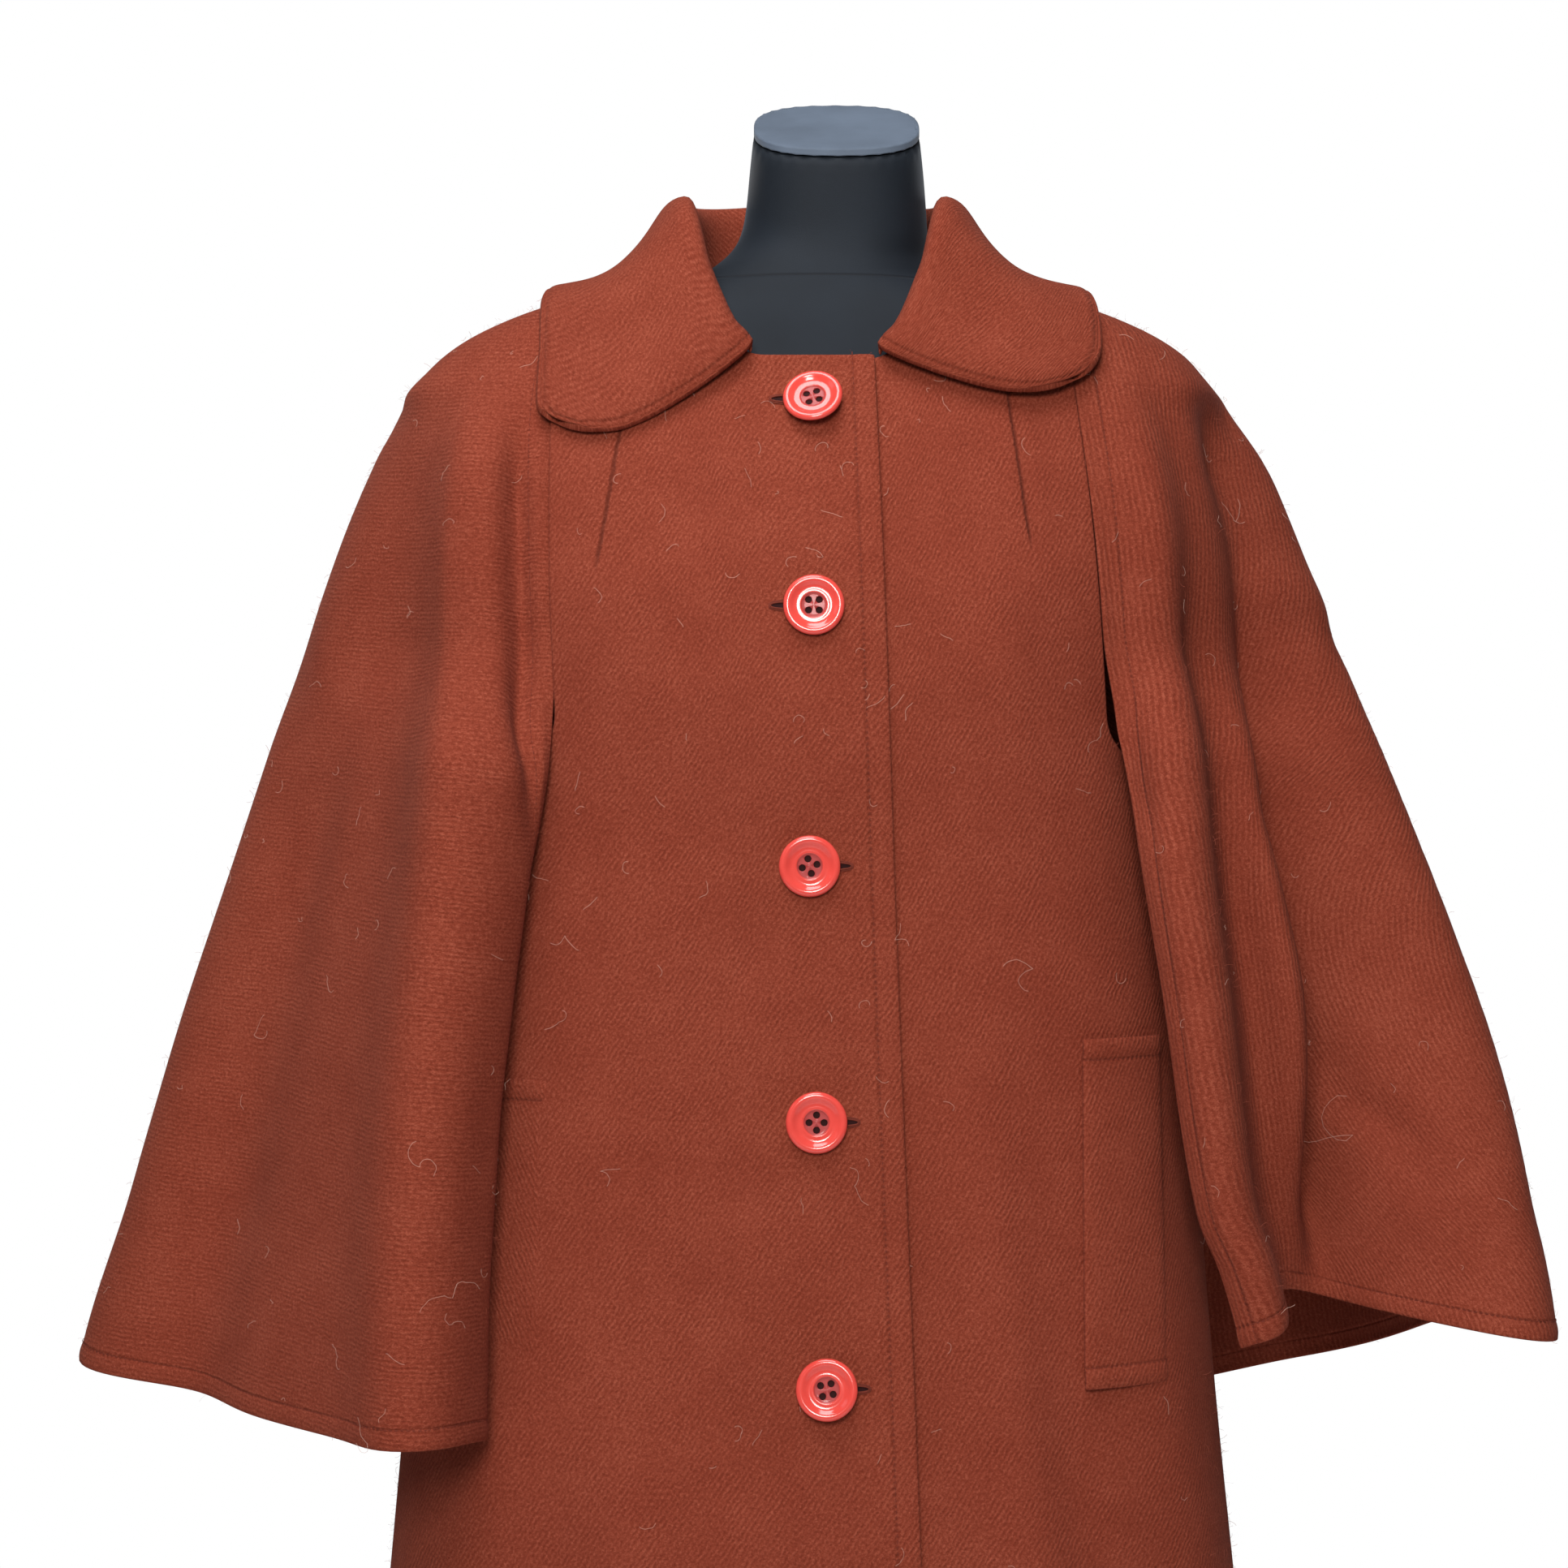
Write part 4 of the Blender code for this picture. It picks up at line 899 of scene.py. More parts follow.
FOLDS = {
    1: (
        (0.090, 0.036, 0.030, 0.050, 0.020, 0.010, 0.030, 0.026, 0.0),
        (0.115, 0.092, 0.052, 0.040, 0.028, -0.012, -0.046, -0.058, 0.0),
        (0.245, 0.225, 0.078, 0.075, 0.050, -0.030, -0.112, -0.080, 0.0),
        (0.360, 0.335, 0.200, 0.045, 0.050, 0.012, 0.034, 0.038, -0.45),
        (0.470, 0.450, 0.430, 0.060, 0.060, 0.0, -0.010, -0.022, 0.0),
        (0.620, 0.600, 0.590, 0.060, 0.060, 0.0, 0.010, 0.024, 0.0),
        (0.760, 0.750, 0.750, 0.050, 0.060, 0.0, -0.010, -0.022, 0.0),
    ),
    -1: (
        (0.085, 0.082, 0.073, 0.055, 0.043, 0.014, 0.042, 0.066, -0.50),
        (0.240, 0.240, 0.240, 0.080, 0.070, -0.006, -0.024, -0.034, 0.0),
        (0.380, 0.360, 0.350, 0.060, 0.050, 0.0, 0.010, 0.016, 0.0),
        (0.500, 0.480, 0.470, 0.060, 0.060, 0.0, -0.012, -0.024, 0.0),
        (0.640, 0.630, 0.620, 0.060, 0.060, 0.0, 0.012, 0.024, 0.0),
        (0.790, 0.780, 0.770, 0.050, 0.060, 0.0, -0.010, -0.020, 0.0),
    ),
}
HEM_SHARES = (0.0, 0.06, 0.12, 0.25, 0.42, 0.60, 0.80, 1.0)
CAPE_HEM = {
    1: (0.757, 0.778, 0.772, 0.752, 0.738, 0.690, 0.660, 0.650),
    -1: (0.702, 0.712, 0.711, 0.718, 0.730, 0.685, 0.650, 0.642),
}
# Smaller creases: distance over the cloth from its front edge and height at both ends.
HIND_CREASES = ((0.52, 1.18, 0.55, 0.86, 0.030, 0.0050), (0.62, 1.10, 0.66, 0.80, 0.028, -0.0050))
CAPE_CREASES = {
    -1: ((0.21, 1.20, 0.25, 1.02, 0.022, -0.0030), (0.17, 1.12, 0.20, 0.96, 0.018, 0.0022),
         (0.28, 0.93, 0.34, 0.80, 0.026, 0.0036), (0.24, 0.88, 0.30, 0.76, 0.024, -0.0030),
         (0.06, 0.98, 0.05, 0.80, 0.012, -0.0016), (0.36, 1.24, 0.42, 1.08, 0.026, -0.0035),
         *HIND_CREASES),
    1: ((0.14, 1.235, 0.25, 1.175, 0.016, 0.0034), (0.17, 1.210, 0.27, 1.165, 0.014, -0.0034),
        (0.10, 1.130, 0.17, 1.040, 0.016, -0.0026), (0.22, 1.00, 0.26, 0.84, 0.022, 0.0034),
        (0.27, 0.96, 0.30, 0.80, 0.020, -0.0034), (0.24, 0.905, 0.33, 0.860, 0.014, -0.0026),
        (0.36, 1.22, 0.42, 1.06, 0.026, -0.0035), *HIND_CREASES),
}


def cape_start(side, z):
    """Where the cape begins at height z, and the way that it sets off."""
    angle = angle_of(at_height(FRONT_SEAM[side], "x", z), z)
    start = body_at(angle, z)[:2]
    ahead = body_at(angle + 0.02, z)[:2] - body_at(angle - 0.02, z)[:2]
    ahead = ahead / np.linalg.norm(ahead)
    free = smooth_step(SLIT_TOP + 0.06, SLIT_TOP - 0.02, z)
    edge = SLIT_EDGE[side]
    slit = np.array((at_height(edge, "x", z), at_height(edge, "y", z)))
    return start + free * (slit - start), ahead + free * (np.array(SLIT_WAY[side]) - ahead)


def cape_section(side, z, shares):
    """The cape's section at one height with its folds, at shares of its length from the front."""
    count = 96
    body = {name: at_height(BODY, name, z) for name in ("half_width", "front", "back", "side")}
    wide = dict(body)
    if z < 1.33:
        wide.update({name: at_height(CAPE, name, z) for name in ("half_width", "back", "side")})
    seam = at_height(FRONT_SEAM[side], "x", z)
    first = angle_of(seam, z) if z < SEAM_TOP else math.pi / 2
    turn = np.linspace(first, math.pi / 2, count)
    curve = np.stack(on_ring(body["half_width"], body["front"], body["back"], body["side"], turn), axis=-1)
    low = smooth_step(1.345, 1.30, z)
    if low > 0:
        start, ahead = cape_start(side, z)
        end = np.array((wide["half_width"], wide["side"]))
        reach = np.linalg.norm(end - start) * 1.25
        t = np.linspace(0, 1, count)[:, None]
        hung = ((1 + 2 * t) * (1 - t) ** 2 * start + t * t * (3 - 2 * t) * end
                + t * (1 - t) ** 2 * reach * ahead - t * t * (1 - t) * reach * np.array((0.0, 1.0)))
        curve = curve + low * (hung - curve)
    turn = np.linspace(math.pi / 2, math.pi, count)
    behind = np.stack(on_ring(wide["half_width"], body["front"], wide["back"], wide["side"], turn), axis=-1)
    curve = np.vstack((curve[:-1], behind))
    length = lengths_along(curve)
    length = length / length[-1]

    def at(share):
        return np.stack([np.interp(share, length, curve[:, k]) for k in (0, 1)], axis=-1)

    way = unit(at(shares + 0.01) - at(shares - 0.01))
    out = np.stack((way[:, 1], -way[:, 0]), axis=-1)
    place = at(shares)
    fade = smooth_step(1.36, 1.28, z)
    hold = 1.0 - bell(shares, 0.02) * smooth_step(SLIT_TOP - 0.07, SLIT_TOP - 0.03, z)
    heights = (0.70, 1.00, 1.27, 1.40)
    for row in FOLDS[side]:
        fold = dict(zip(FOLD_COLUMNS, row))
        centre = along(heights, (fold["low"], fold["middle"], fold["top"], fold["top"]), z)
        half = 0.5 * (fold["width_top"] + fold["width_low"])
        width = along(heights, (fold["width_low"], half, fold["width_top"], fold["width_top"]), z)
        rises = (fold["rise_low"], fold["rise_middle"], fold["rise_top"], fold["rise_top"])
        rise = fade * along(heights, rises, z)
        bump = (bell(shares - centre, width) * hold)[:, None]
        place = place + out * rise * bump + way * fold["lean"] * abs(rise) * bump
    return place


def cape_grid(side):
    """Points of half a cape in rows from its hem to the shoulder seam and the neck."""
    shares = np.linspace(0, 1, 320)
    heights = np.linspace(0.625, 1.43, 260)
    sheet = np.array([cape_section(side, z, shares) for z in heights])
    front_end = CAPE_HEM[side][0]
    low = along(HEM_SHARES, CAPE_HEM[side], shares)
    top = NECK_SIDE + (NECK_BACK - NECK_SIDE) * shares ** 1.4
    span = NECK_SIDE - front_end
    steps = levels_up(0.0, 1.33 - front_end, 0.0075, HEM_STEPS)
    steps = np.concatenate((steps, np.linspace(1.334 - front_end, span, 22)))
    rows = []
    runs = []
    column = np.arange(len(shares))
    for level in steps / span:
        z = low + (top - low) * level
        where = (z - heights[0]) / (heights[1] - heights[0])
        i = np.clip(where.astype(int), 0, len(heights) - 2)
        t = (where - i)[:, None]
        flat = sheet[i, column] * (1 - t) + sheet[i + 1, column] * t
        curve = np.column_stack((flat[:, 0], flat[:, 1], z))
        found, places, _ = by_length(curve, EDGE_STEPS, SEAM_STEPS, 76)
        rows.append(found)
        runs.append(places)
    points = np.array(rows)
    points[..., 0] *= side
    return points, np.array(runs), steps


# The line along the cloth on which the fold beside the arm's slit breaks.
CREST = {
    1: {"z": (0.76, 0.88, 1.00, 1.12, 1.27), "run": (0.020, 0.022, 0.022, 0.034, 0.040), "rise": 0.009},
    -1: {"z": (0.70, 0.84, 0.93, 1.03, 1.12, 1.29), "run": (0.088, 0.078, 0.072, 0.070, 0.064, 0.054),
         "rise": 0.013},
}
# Beside the seam of the wearer's right half: rise, distance from the edge and width.
SEAM_RIDGES = ((0.0030, 0.008, 0.006), (-0.0110, 0.021, 0.0065), (0.0060, 0.038, 0.012))
# The slope, pitch and depth of the twill, and the stitched lines.
CAPE_TWILL = {1: (92, 0.0037, 1.1), -1: (4, 0.0027, 0.8)}
CAPE_LINES = {1: (("Y", HEM_STITCH, 0.0008), ("X", FRONT_STITCH, 0.0008)), -1: (("Y", HEM_STITCH, 0.0008),)}
TURN_START = 0.028
TURN_RADIUS = 0.018
TURN_SHIFT = 0.010


def turned_under(points, run):
    """The free front edge rolled in, so that the fold before it is what shows."""
    column = int(np.searchsorted(run[0], TURN_START))
    hinge = points[:, column:column + 1]
    ahead = unit(hinge - points[:, column + 2:column + 3])
    inward = np.cross(ahead, np.array((0.0, 0.0, 1.0)))
    inward = inward * np.where(inward[..., 1:2] < 0, -1, 1)
    turn = np.clip(run[:, column:column + 1] - run, 0.0, None) / TURN_RADIUS
    rolled = (hinge + ahead * (TURN_RADIUS * np.sin(turn))[..., None]
              + inward * (TURN_RADIUS * (1 - np.cos(turn)))[..., None])
    rolled[..., 2] = points[..., 2]
    slow = smooth_step(SLIT_TOP + 0.005, SLIT_TOP - 0.13, points[..., 2])
    share = (slow * (turn > 0))[..., None]
    onward = ahead * (TURN_SHIFT * slow * smooth_step(0.13, 0.03, run))[..., None]
    return points + share * (rolled - points) + onward


def add_cape(side, name):
    """Half of the cape with its folds, creases, swollen edges and stitched hem."""
    points, run, steps = cape_grid(side)
    normal = side * grid_normals(points)
    z = points[..., 2]
    hem = np.broadcast_to(steps[:, None], run.shape)
    rise = sum(crease(run, z, row) for row in CAPE_CREASES[side]) * smooth_step(0.0, 0.04, run)
    rise = rise + plump(hem, HEM_STITCH, 0.0009)
    free = smooth_step(SLIT_TOP + 0.01, SLIT_TOP - 0.03, z)
    rise = rise + plump(run, FRONT_STITCH, 0.0009) * free
    crest = CREST[side]
    ridge = at_height(crest, "run", z)
    beside = (run - ridge) / np.where(run > ridge, 0.030, 0.022)
    tops = smooth_step(crest["z"][-1] + 0.06, crest["z"][-1] - 0.04, z)
    ridges = np.exp(-np.abs(beside) ** 1.15) - 0.35 * bell(beside - 1.9, 1.2)
    rise = rise + tops * crest["rise"] * ridges
    if side < 0:
        held = smooth_step(1.325, 1.26, z) * smooth_step(SLIT_TOP - 0.09, SLIT_TOP + 0.01, z)
        for height, middle, width in SEAM_RIDGES:
            rise = rise + held * height * bell(run - middle, width)
        rise = rise + free * 0.009 * bell(run - 0.034, 0.045)
    points = points + normal * rise[..., None]
    if side < 0:
        points = turned_under(points, run)
    wool = wool_twill("wool_" + name, *CAPE_TWILL[side], CAPE_LINES[side])
    made = cloth_piece(name + "_cloth", points, {"cloth": (run, z), "edge": (run, hem)}, CLOTH_WALL,
                       wool, name, flip=side < 0)
    return points, normal


cape_points = {}
for side, name in ((-1, "cape_right"), (1, "cape_left")):
    points, normal = add_cape(side, name)
    cape_points[side] = points, normal
    seam = points + THREAD_LIFT * normal
    add_stitches(name + "_stitches", [seam[HEM_ROW, 1:-4], seam[1:, FRONT_COLUMN]])
    add_nap(name + "_nap", points, side < 0, NAP_DENSITY)


# The collar is a double layer of wool, sewn to the neckline and turned over a low stand.
# Its rounded ends lie a little off the fronts, and its edge is swollen beside the stitches.
COLLAR_COLUMNS = ("share", "rise", "roll", "mid_x", "mid_z", "mid_lift", "edge_x", "edge_z", "edge_lift")
COLLAR_BEHIND = (
    (0.00, 0.044, 0.010, 0.000, 1.396, 0.010, 0.000, 1.352, 0.0065),
    (0.50, 0.043, 0.010, 0.078, 1.396, 0.010, 0.105, 1.362, 0.0065),
    (0.85, 0.042, 0.009, 0.117, 1.4000, 0.0080, 0.159, 1.3845, 0.0075),
)
COLLAR = {
    1: (
        *COLLAR_BEHIND,
        (1.00, 0.041, 0.009, 0.1200, 1.4026, 0.0070, 0.1680, 1.3900, 0.0085),
        (1.12, 0.040, 0.009, 0.122, 1.4000, 0.0085, 0.1710, 1.3840, 0.0085),
        (1.35, 0.034, 0.009, 0.124, 1.380, 0.012, 0.1735, 1.364, 0.0080),
        (1.60, 0.024, 0.009, 0.112, 1.362, 0.014, 0.1727, 1.350, 0.0100),
        (1.82, 0.013, 0.008, 0.108, 1.340, 0.014, 0.1675, 1.337, 0.0105),
        (2.00, 0.005, 0.006, 0.120, 1.3212, 0.011, 0.1585, 1.3262, 0.0105),
    ),
    -1: (
        *COLLAR_BEHIND,
        (1.00, 0.041, 0.009, 0.1195, 1.4028, 0.0070, 0.1650, 1.3910, 0.0085),
        (1.12, 0.040, 0.009, 0.121, 1.4000, 0.0085, 0.1670, 1.3830, 0.0085),
        (1.35, 0.034, 0.009, 0.122, 1.376, 0.013, 0.167, 1.354, 0.0080),
        (1.60, 0.024, 0.009, 0.110, 1.353, 0.014, 0.1675, 1.334, 0.0095),
        (1.82, 0.013, 0.008, 0.106, 1.325, 0.014, 0.1668, 1.314, 0.0105),
        (2.00, 0.005, 0.006, 0.122, 1.2968, 0.011, 0.1585, 1.2985, 0.0105),
    ),
}
COLLAR_STITCH = 0.0088
COLLAR_EDGE_STEPS = (0.0, 0.0015, 0.0035, 0.0055, 0.0072, COLLAR_STITCH, 0.0105, 0.013, 0.018)
COLLAR_WALL = 0.0050
CORNER = 0.024


def neckline_at(share):
    """Angle and height of the neckline, on the wearer's left, from centre back to front end."""
    if share <= 1:
        return math.pi - share * math.pi / 2, NECK_SIDE + (NECK_BACK - NECK_SIDE) * (1 - share) ** 1.4
    z = along((1.0, 1.25, 1.5, 1.75, 2.0), (1.414, 1.404, 1.386, 1.365, 1.3485), share)
    return (angle_of(at_height(NECKLINE, "x", z), z) if z < 1.4139 else math.pi / 2), z


def over_coat(x, z, lift, behind):
    """A place at this height and distance from the centre, lifted off the coat."""
    angle = angle_of(x, z)
    angle = math.pi - angle if behind else angle
    return body_at(angle, z) + lift * body_normal(angle, z)


def collar_section(side, share):
    """Dense points of the collar's middle from the neck seam to the outer edge."""
    rows = COLLAR[side]
    shares = tuple(row[0] for row in rows)
    at = {name: along(shares, [row[i] for row in rows], share) for i, name in enumerate(COLLAR_COLUMNS)}
    angle, z = neckline_at(share)
    rim = body_at(angle, z)
    down = body_at(angle, z - 0.003) - rim
    down = down / np.linalg.norm(down)
    out = body_normal(angle, z)
    level = np.array((out[0], out[1], 0.0))
    level = level / np.linalg.norm(level)
    lapped = LAP * smooth_step(1.60, 1.85, share) if side < 0 else 0.0
    foot = rim - down * (2 * GAP + WALL / 2) + out * (0.001 + lapped)
    top = foot + np.array((0, 0, at["rise"])) + level * at["roll"] * 0.45
    over = foot + np.array((0, 0, at["rise"] - 0.45 * at["roll"])) + level * at["roll"] * 1.5
    middle = over_coat(at["mid_x"], at["mid_z"], at["mid_lift"], share < 1)
    edge = over_coat(at["edge_x"], at["edge_z"], at["edge_lift"], share < 1)
    knots = np.array((foot, foot + np.array((0, 0, at["rise"] * 0.55)), top, over, middle, edge))
    length = np.concatenate(((0.0,), np.cumsum(np.linalg.norm(np.diff(knots, axis=0), axis=1) ** 0.5)))
    fine = np.linspace(0, length[-1], 120)
    return np.stack([along(length, knots[:, k], fine) for k in range(3)], axis=-1)


def add_collar():
    """The collar as one folded piece with a swollen edge."""
    shares = np.concatenate((np.linspace(0, 1.9, 62), (1.93, 1.955, 1.975, 1.99, 2.0)))
    stations = [(-1, s) for s in shares[:0:-1]] + [(1, s) for s in shares]
    rows = []
    from_edge = []
    for side, share in stations:
        curve = collar_section(side, share) * np.array((side, 1, 1))
        found, places, total = by_length(curve, (0.0, 0.003), COLLAR_EDGE_STEPS, 22)
        rows.append(found)
        from_edge.append(total - places)
    points = np.array(rows).transpose(1, 0, 2)
    from_edge = np.array(from_edge).T
    run = lengths_along(points)
    from_end = np.minimum(run, run[:, -1:] - run)
    across = unit(np.gradient(points, axis=1))
    down = unit(np.gradient(points, axis=0))
    to_end = np.where((run < run[:, -1:] / 2)[..., None], -across, across)
    in_end = np.clip(1 - from_end / CORNER, 0, 1)
    in_edge = np.clip(1 - from_edge / CORNER, 0, 1)
    round_end = in_end * np.sqrt(1 - in_edge ** 2 / 2)
    round_edge = in_edge * np.sqrt(1 - in_end ** 2 / 2)
    points = points - CORNER * ((in_end - round_end)[..., None] * to_end
                                + (in_edge - round_edge)[..., None] * down)
    in_corner = (in_end > 0) & (in_edge > 0)
    rim = np.where(in_corner, CORNER * (1 - np.hypot(round_end, round_edge)),
                   np.minimum(from_edge, from_end + 0.002))
    normal = -grid_normals(points)
    points = points + normal * (0.0018 + plump(rim, COLLAR_STITCH, 0.0019))[..., None]
    wool = wool_twill("wool_collar", 38, TWILL_PITCH, 0.9, (("X", COLLAR_STITCH, 0.0011),))
    flat_across = run - run[:, -1:] / 2
    made = cloth_piece("collar_cloth", points, {"cloth": (flat_across, from_edge), "edge": (rim, rim)},
                       COLLAR_WALL, wool, "collar", flip=True)
    seam = points + THREAD_LIFT * normal
    row = points.shape[0] - 1 - COLLAR_EDGE_STEPS.index(COLLAR_STITCH)
    inside = from_end[row] > COLLAR_STITCH
    add_stitches("collar_stitches", [seam[row][inside]])
    add_nap("collar_nap", points, True, NAP_DENSITY)
    return points, normal


collar_points = add_collar()


# The welt pockets are tall upright strips of double wool, laid on the fronts and stitched
# across both ends and down both sides.
WELT_WIDTH = 0.060
WELT_HEIGHT = 0.206
WELT_LOW = {1: 0.733, -1: 0.709}
WELT_X = 0.157
WELT_STITCH = 0.013
WELT_WALL = 0.0036
WELT_ENDS = np.array((0.0, 0.0015, 0.004, 0.007, 0.010, WELT_STITCH, 0.016))


def add_welt(side, name):
    """A welt laid over its front."""
    across = np.concatenate(((0.0, 0.0015, 0.004), np.linspace(0.008, WELT_WIDTH - 0.008, 12),
                             (WELT_WIDTH - 0.004, WELT_WIDTH - 0.0015, WELT_WIDTH)))
    height = np.concatenate((WELT_ENDS, np.linspace(0.022, WELT_HEIGHT - 0.022, 26),
                             WELT_HEIGHT - WELT_ENDS[::-1]))
    rows = []
    for h in height:
        z = WELT_LOW[side] + h
        angle = np.linspace(angle_of(WELT_X, z), math.pi / 2, 200)
        z = np.full_like(angle, z)
        curve = body_at(angle, z) + (GAP + WALL + 0.0004) * body_normal(angle, z)
        run = lengths_along(curve)
        rows.append(np.stack([np.interp(across, run, curve[:, k]) for k in range(3)], axis=-1))
    points = np.array(rows)
    points[..., 0] *= side
    normal = side * grid_normals(points)
    u, v = np.meshgrid(across, height)
    near_side = np.minimum(u, WELT_WIDTH - u)
    near_end = np.minimum(v, WELT_HEIGHT - v)
    swell = 0.0010 * smooth_step(0.0, 0.006, near_side) + plump(near_end, WELT_STITCH, 0.0012)
    points = points + normal * swell[..., None]
    wool = wool_twill("wool_" + name, 62, TWILL_PITCH, 1.0, (("Y", WELT_STITCH, 0.0010),))
    made = cloth_piece(name + "_cloth", points, {"cloth": (u, v), "edge": (near_side, near_end)},
                       WELT_WALL, wool, name, flip=side < 0)
    return points, normal


for side, name in ((-1, "welt_right"), (1, "welt_left")):
    points, normal = add_welt(side, name)
    seam = points + THREAD_LIFT * normal
    add_stitches(name + "_stitches", [seam[5, 1:-1], seam[-6, 1:-1]])


# The five buttons are turned from coral plastic, polished all over but for the sunk middle,
# and sewn on through four holes. Each has come to rest at its own angle.
BUTTON_RADIUS = 0.018
BUTTON_HEIGHT = 0.0050
BUTTON_TURNS = {"button_1": 18, "button_2": 0, "button_3": -32, "button_4": 45, "button_5": 12}
BUTTON_TIPS = {"button_1": (0.16, -0.14), "button_5": (0.12, -0.10)}
# Shares of the radius and of the height, from the middle of the face round to the underside.
BUTTON_PROFILE = ((0.0, 0.42), (0.30, 0.42), (0.385, 0.43), (0.405, 0.46), (0.425, 0.56), (0.46, 0.60),
                  (0.52, 0.56), (0.60, 0.56), (0.68, 0.66), (0.75, 0.86), (0.80, 0.96), (0.86, 1.0),
                  (0.92, 0.96), (0.97, 0.84), (1.0, 0.64), (0.995, 0.48), (0.95, 0.30), (0.84, 0.10),
                  (0.78, 0.06), (0.0, 0.06))
HOLE_RADIUS = 0.115 * BUTTON_RADIUS
HOLE_CIRCLE = 0.245 * BUTTON_RADIUS


def coral_plastic():
    """Glossy coral plastic whose sunk middle is dull and darker."""
    made, tree, shader = new_material("coral_plastic", 0.16)
    polished = graded(tree, map_parts(tree, "turned")["X"], 0.40, 0.44, 0.0, 1.0)
    place = here(tree)
    red = blend_of(tree, noise(tree, place, 130, 3), (0.74, 0.060, 0.046, 1), (0.82, 0.090, 0.070, 1))
    tree.links.new(blend_of(tree, polished, (0.40, 0.040, 0.036, 1), red), shader.inputs["Base Color"])
    tree.links.new(graded(tree, polished, 0.0, 1.0, 0.62, 0.15), shader.inputs["Roughness"])
    give_bump(tree, shader, noise(tree, place, 900, 2), 0.2, 0.00003)
    shader.inputs["Coat Weight"].default_value = 0.25
    shader.inputs["Coat Roughness"].default_value = 0.08
    return made


CORAL = coral_plastic()
# A near-black sheet of painted shadow: it is seen through each button's holes and fills each buttonhole's
# slit.
PAINTED_SHADOW = plain_thread("painted_hole_shadow", (0.030, 0.006, 0.006))


def button_seat(name):
    """The middle of a packed button's underside and the way that its face looks."""
    data = bpy.data.objects[name].data
    points = np.array([vertex.co for vertex in data.vertices])
    middle = points.mean(axis=0)
    axis = np.linalg.svd(points - middle, full_matrices=False)[2][2]
    axis = axis if axis[1] < 0 else -axis
    far = points[np.linalg.norm(points - middle, axis=1) > 0.8 * BUTTON_RADIUS]
    middle = (far.max(axis=0) + far.min(axis=0)) / 2
    depth = (points - middle) @ axis
    return middle + axis * depth.min(), axis


def add_button(name):
    """A turned button with four holes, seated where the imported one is."""
    seat, axis = button_seat(name)
    steps = 64
    mesh = bmesh.new()
    layer = mesh.loops.layers.uv.new("turned")
    rings = []
    for share, height in BUTTON_PROFILE:
        count = steps if share else 1
        rings.append(ring_of(mesh, share * BUTTON_RADIUS, height * BUTTON_HEIGHT, count))
    for inner, outer in zip(rings, rings[1:]):
        for i in range(steps):
            corners = [inner[i % len(inner)], outer[i % len(outer)], outer[(i + 1) % len(outer)],
                       inner[(i + 1) % len(inner)]]
            face = mesh.faces.new(list(dict.fromkeys(corners)))
            face.smooth = True
    for face in mesh.faces:
        upper = face.calc_center_median().z > 0.3 * BUTTON_HEIGHT
        for loop in face.loops:
            share = loop.vert.co.xy.length / BUTTON_RADIUS
            loop[layer].uv = (share if upper else 1.0, 0.0)
    bmesh.ops.recalc_face_normals(mesh, faces=mesh.faces)
    data = plain_mesh(name + "_turned", mesh)
    drills = bmesh.new()
    for i in range(4):
        turn = math.radians(45 + 90 * i + BUTTON_TURNS[name])
        place = mathutils.Matrix.Translation((HOLE_CIRCLE * math.cos(turn), HOLE_CIRCLE * math.sin(turn), 0))
        bmesh.ops.create_cone(drills, cap_ends=True, segments=24, radius1=HOLE_RADIUS, radius2=HOLE_RADIUS,
                              depth=4 * BUTTON_HEIGHT, matrix=place)
    blank = in_scene(name + "_blank", data)
    drill = in_scene("drill", plain_mesh("drill", drills))
    cut = blank.modifiers.new("holes", "BOOLEAN")
    cut.operation = "DIFFERENCE"
    cut.object = drill
    turned_mesh = bpy.data.meshes.new_from_object(blank.evaluated_get(bpy.context.evaluated_depsgraph_get()))
    bpy.data.objects.remove(blank)
    bpy.data.objects.remove(drill)
    tip_up, tip_right = BUTTON_TIPS.get(name, (0.0, 0.0))
    face_on = (mathutils.Vector(axis) + mathutils.Vector((tip_right, 0.0, tip_up))).normalized()
    seat = seat + axis * BUTTON_RADIUS * 0.75 * math.hypot(tip_up, tip_right)
    right = mathutils.Vector((0, 0, 1)).cross(face_on).normalized()
    frame_of = mathutils.Matrix((right, face_on.cross(right), face_on)).transposed().to_4x4()
    frame_of.translation = seat
    turned_mesh.materials.clear()
    turned_mesh.materials.append(CORAL)
    turned_mesh.materials.append(PAINTED_SHADOW)
    backed = bmesh.new()
    backed.from_mesh(turned_mesh)
    for face in backed.faces:
        face.material_index = 0
    # A near-black disc inside the button, seen through its holes: painted shadow.
    shade = ring_of(backed, 0.40 * BUTTON_RADIUS, 0.24 * BUTTON_HEIGHT, 24)
    backed.faces.new(shade).material_index = 1
    backed.to_mesh(turned_mesh)
    backed.free()
    turned_mesh.transform(frame_of)
    stand_for(in_scene(name + "_fine", turned_mesh), name)
    return seat


button_seats = {name: add_button(name) for name in BUTTON_TURNS}


# Each buttonhole is a level slit, bound all round with close stitches of thread. It shows
# beside its button, which pulls to one end of it.
SLIT_LENGTH = 0.034
SLIT_OFFSET = {"button_1": -0.0085, "button_2": -0.0085, "button_3": 0.0075, "button_4": 0.0075,
               "button_5": 0.0075}


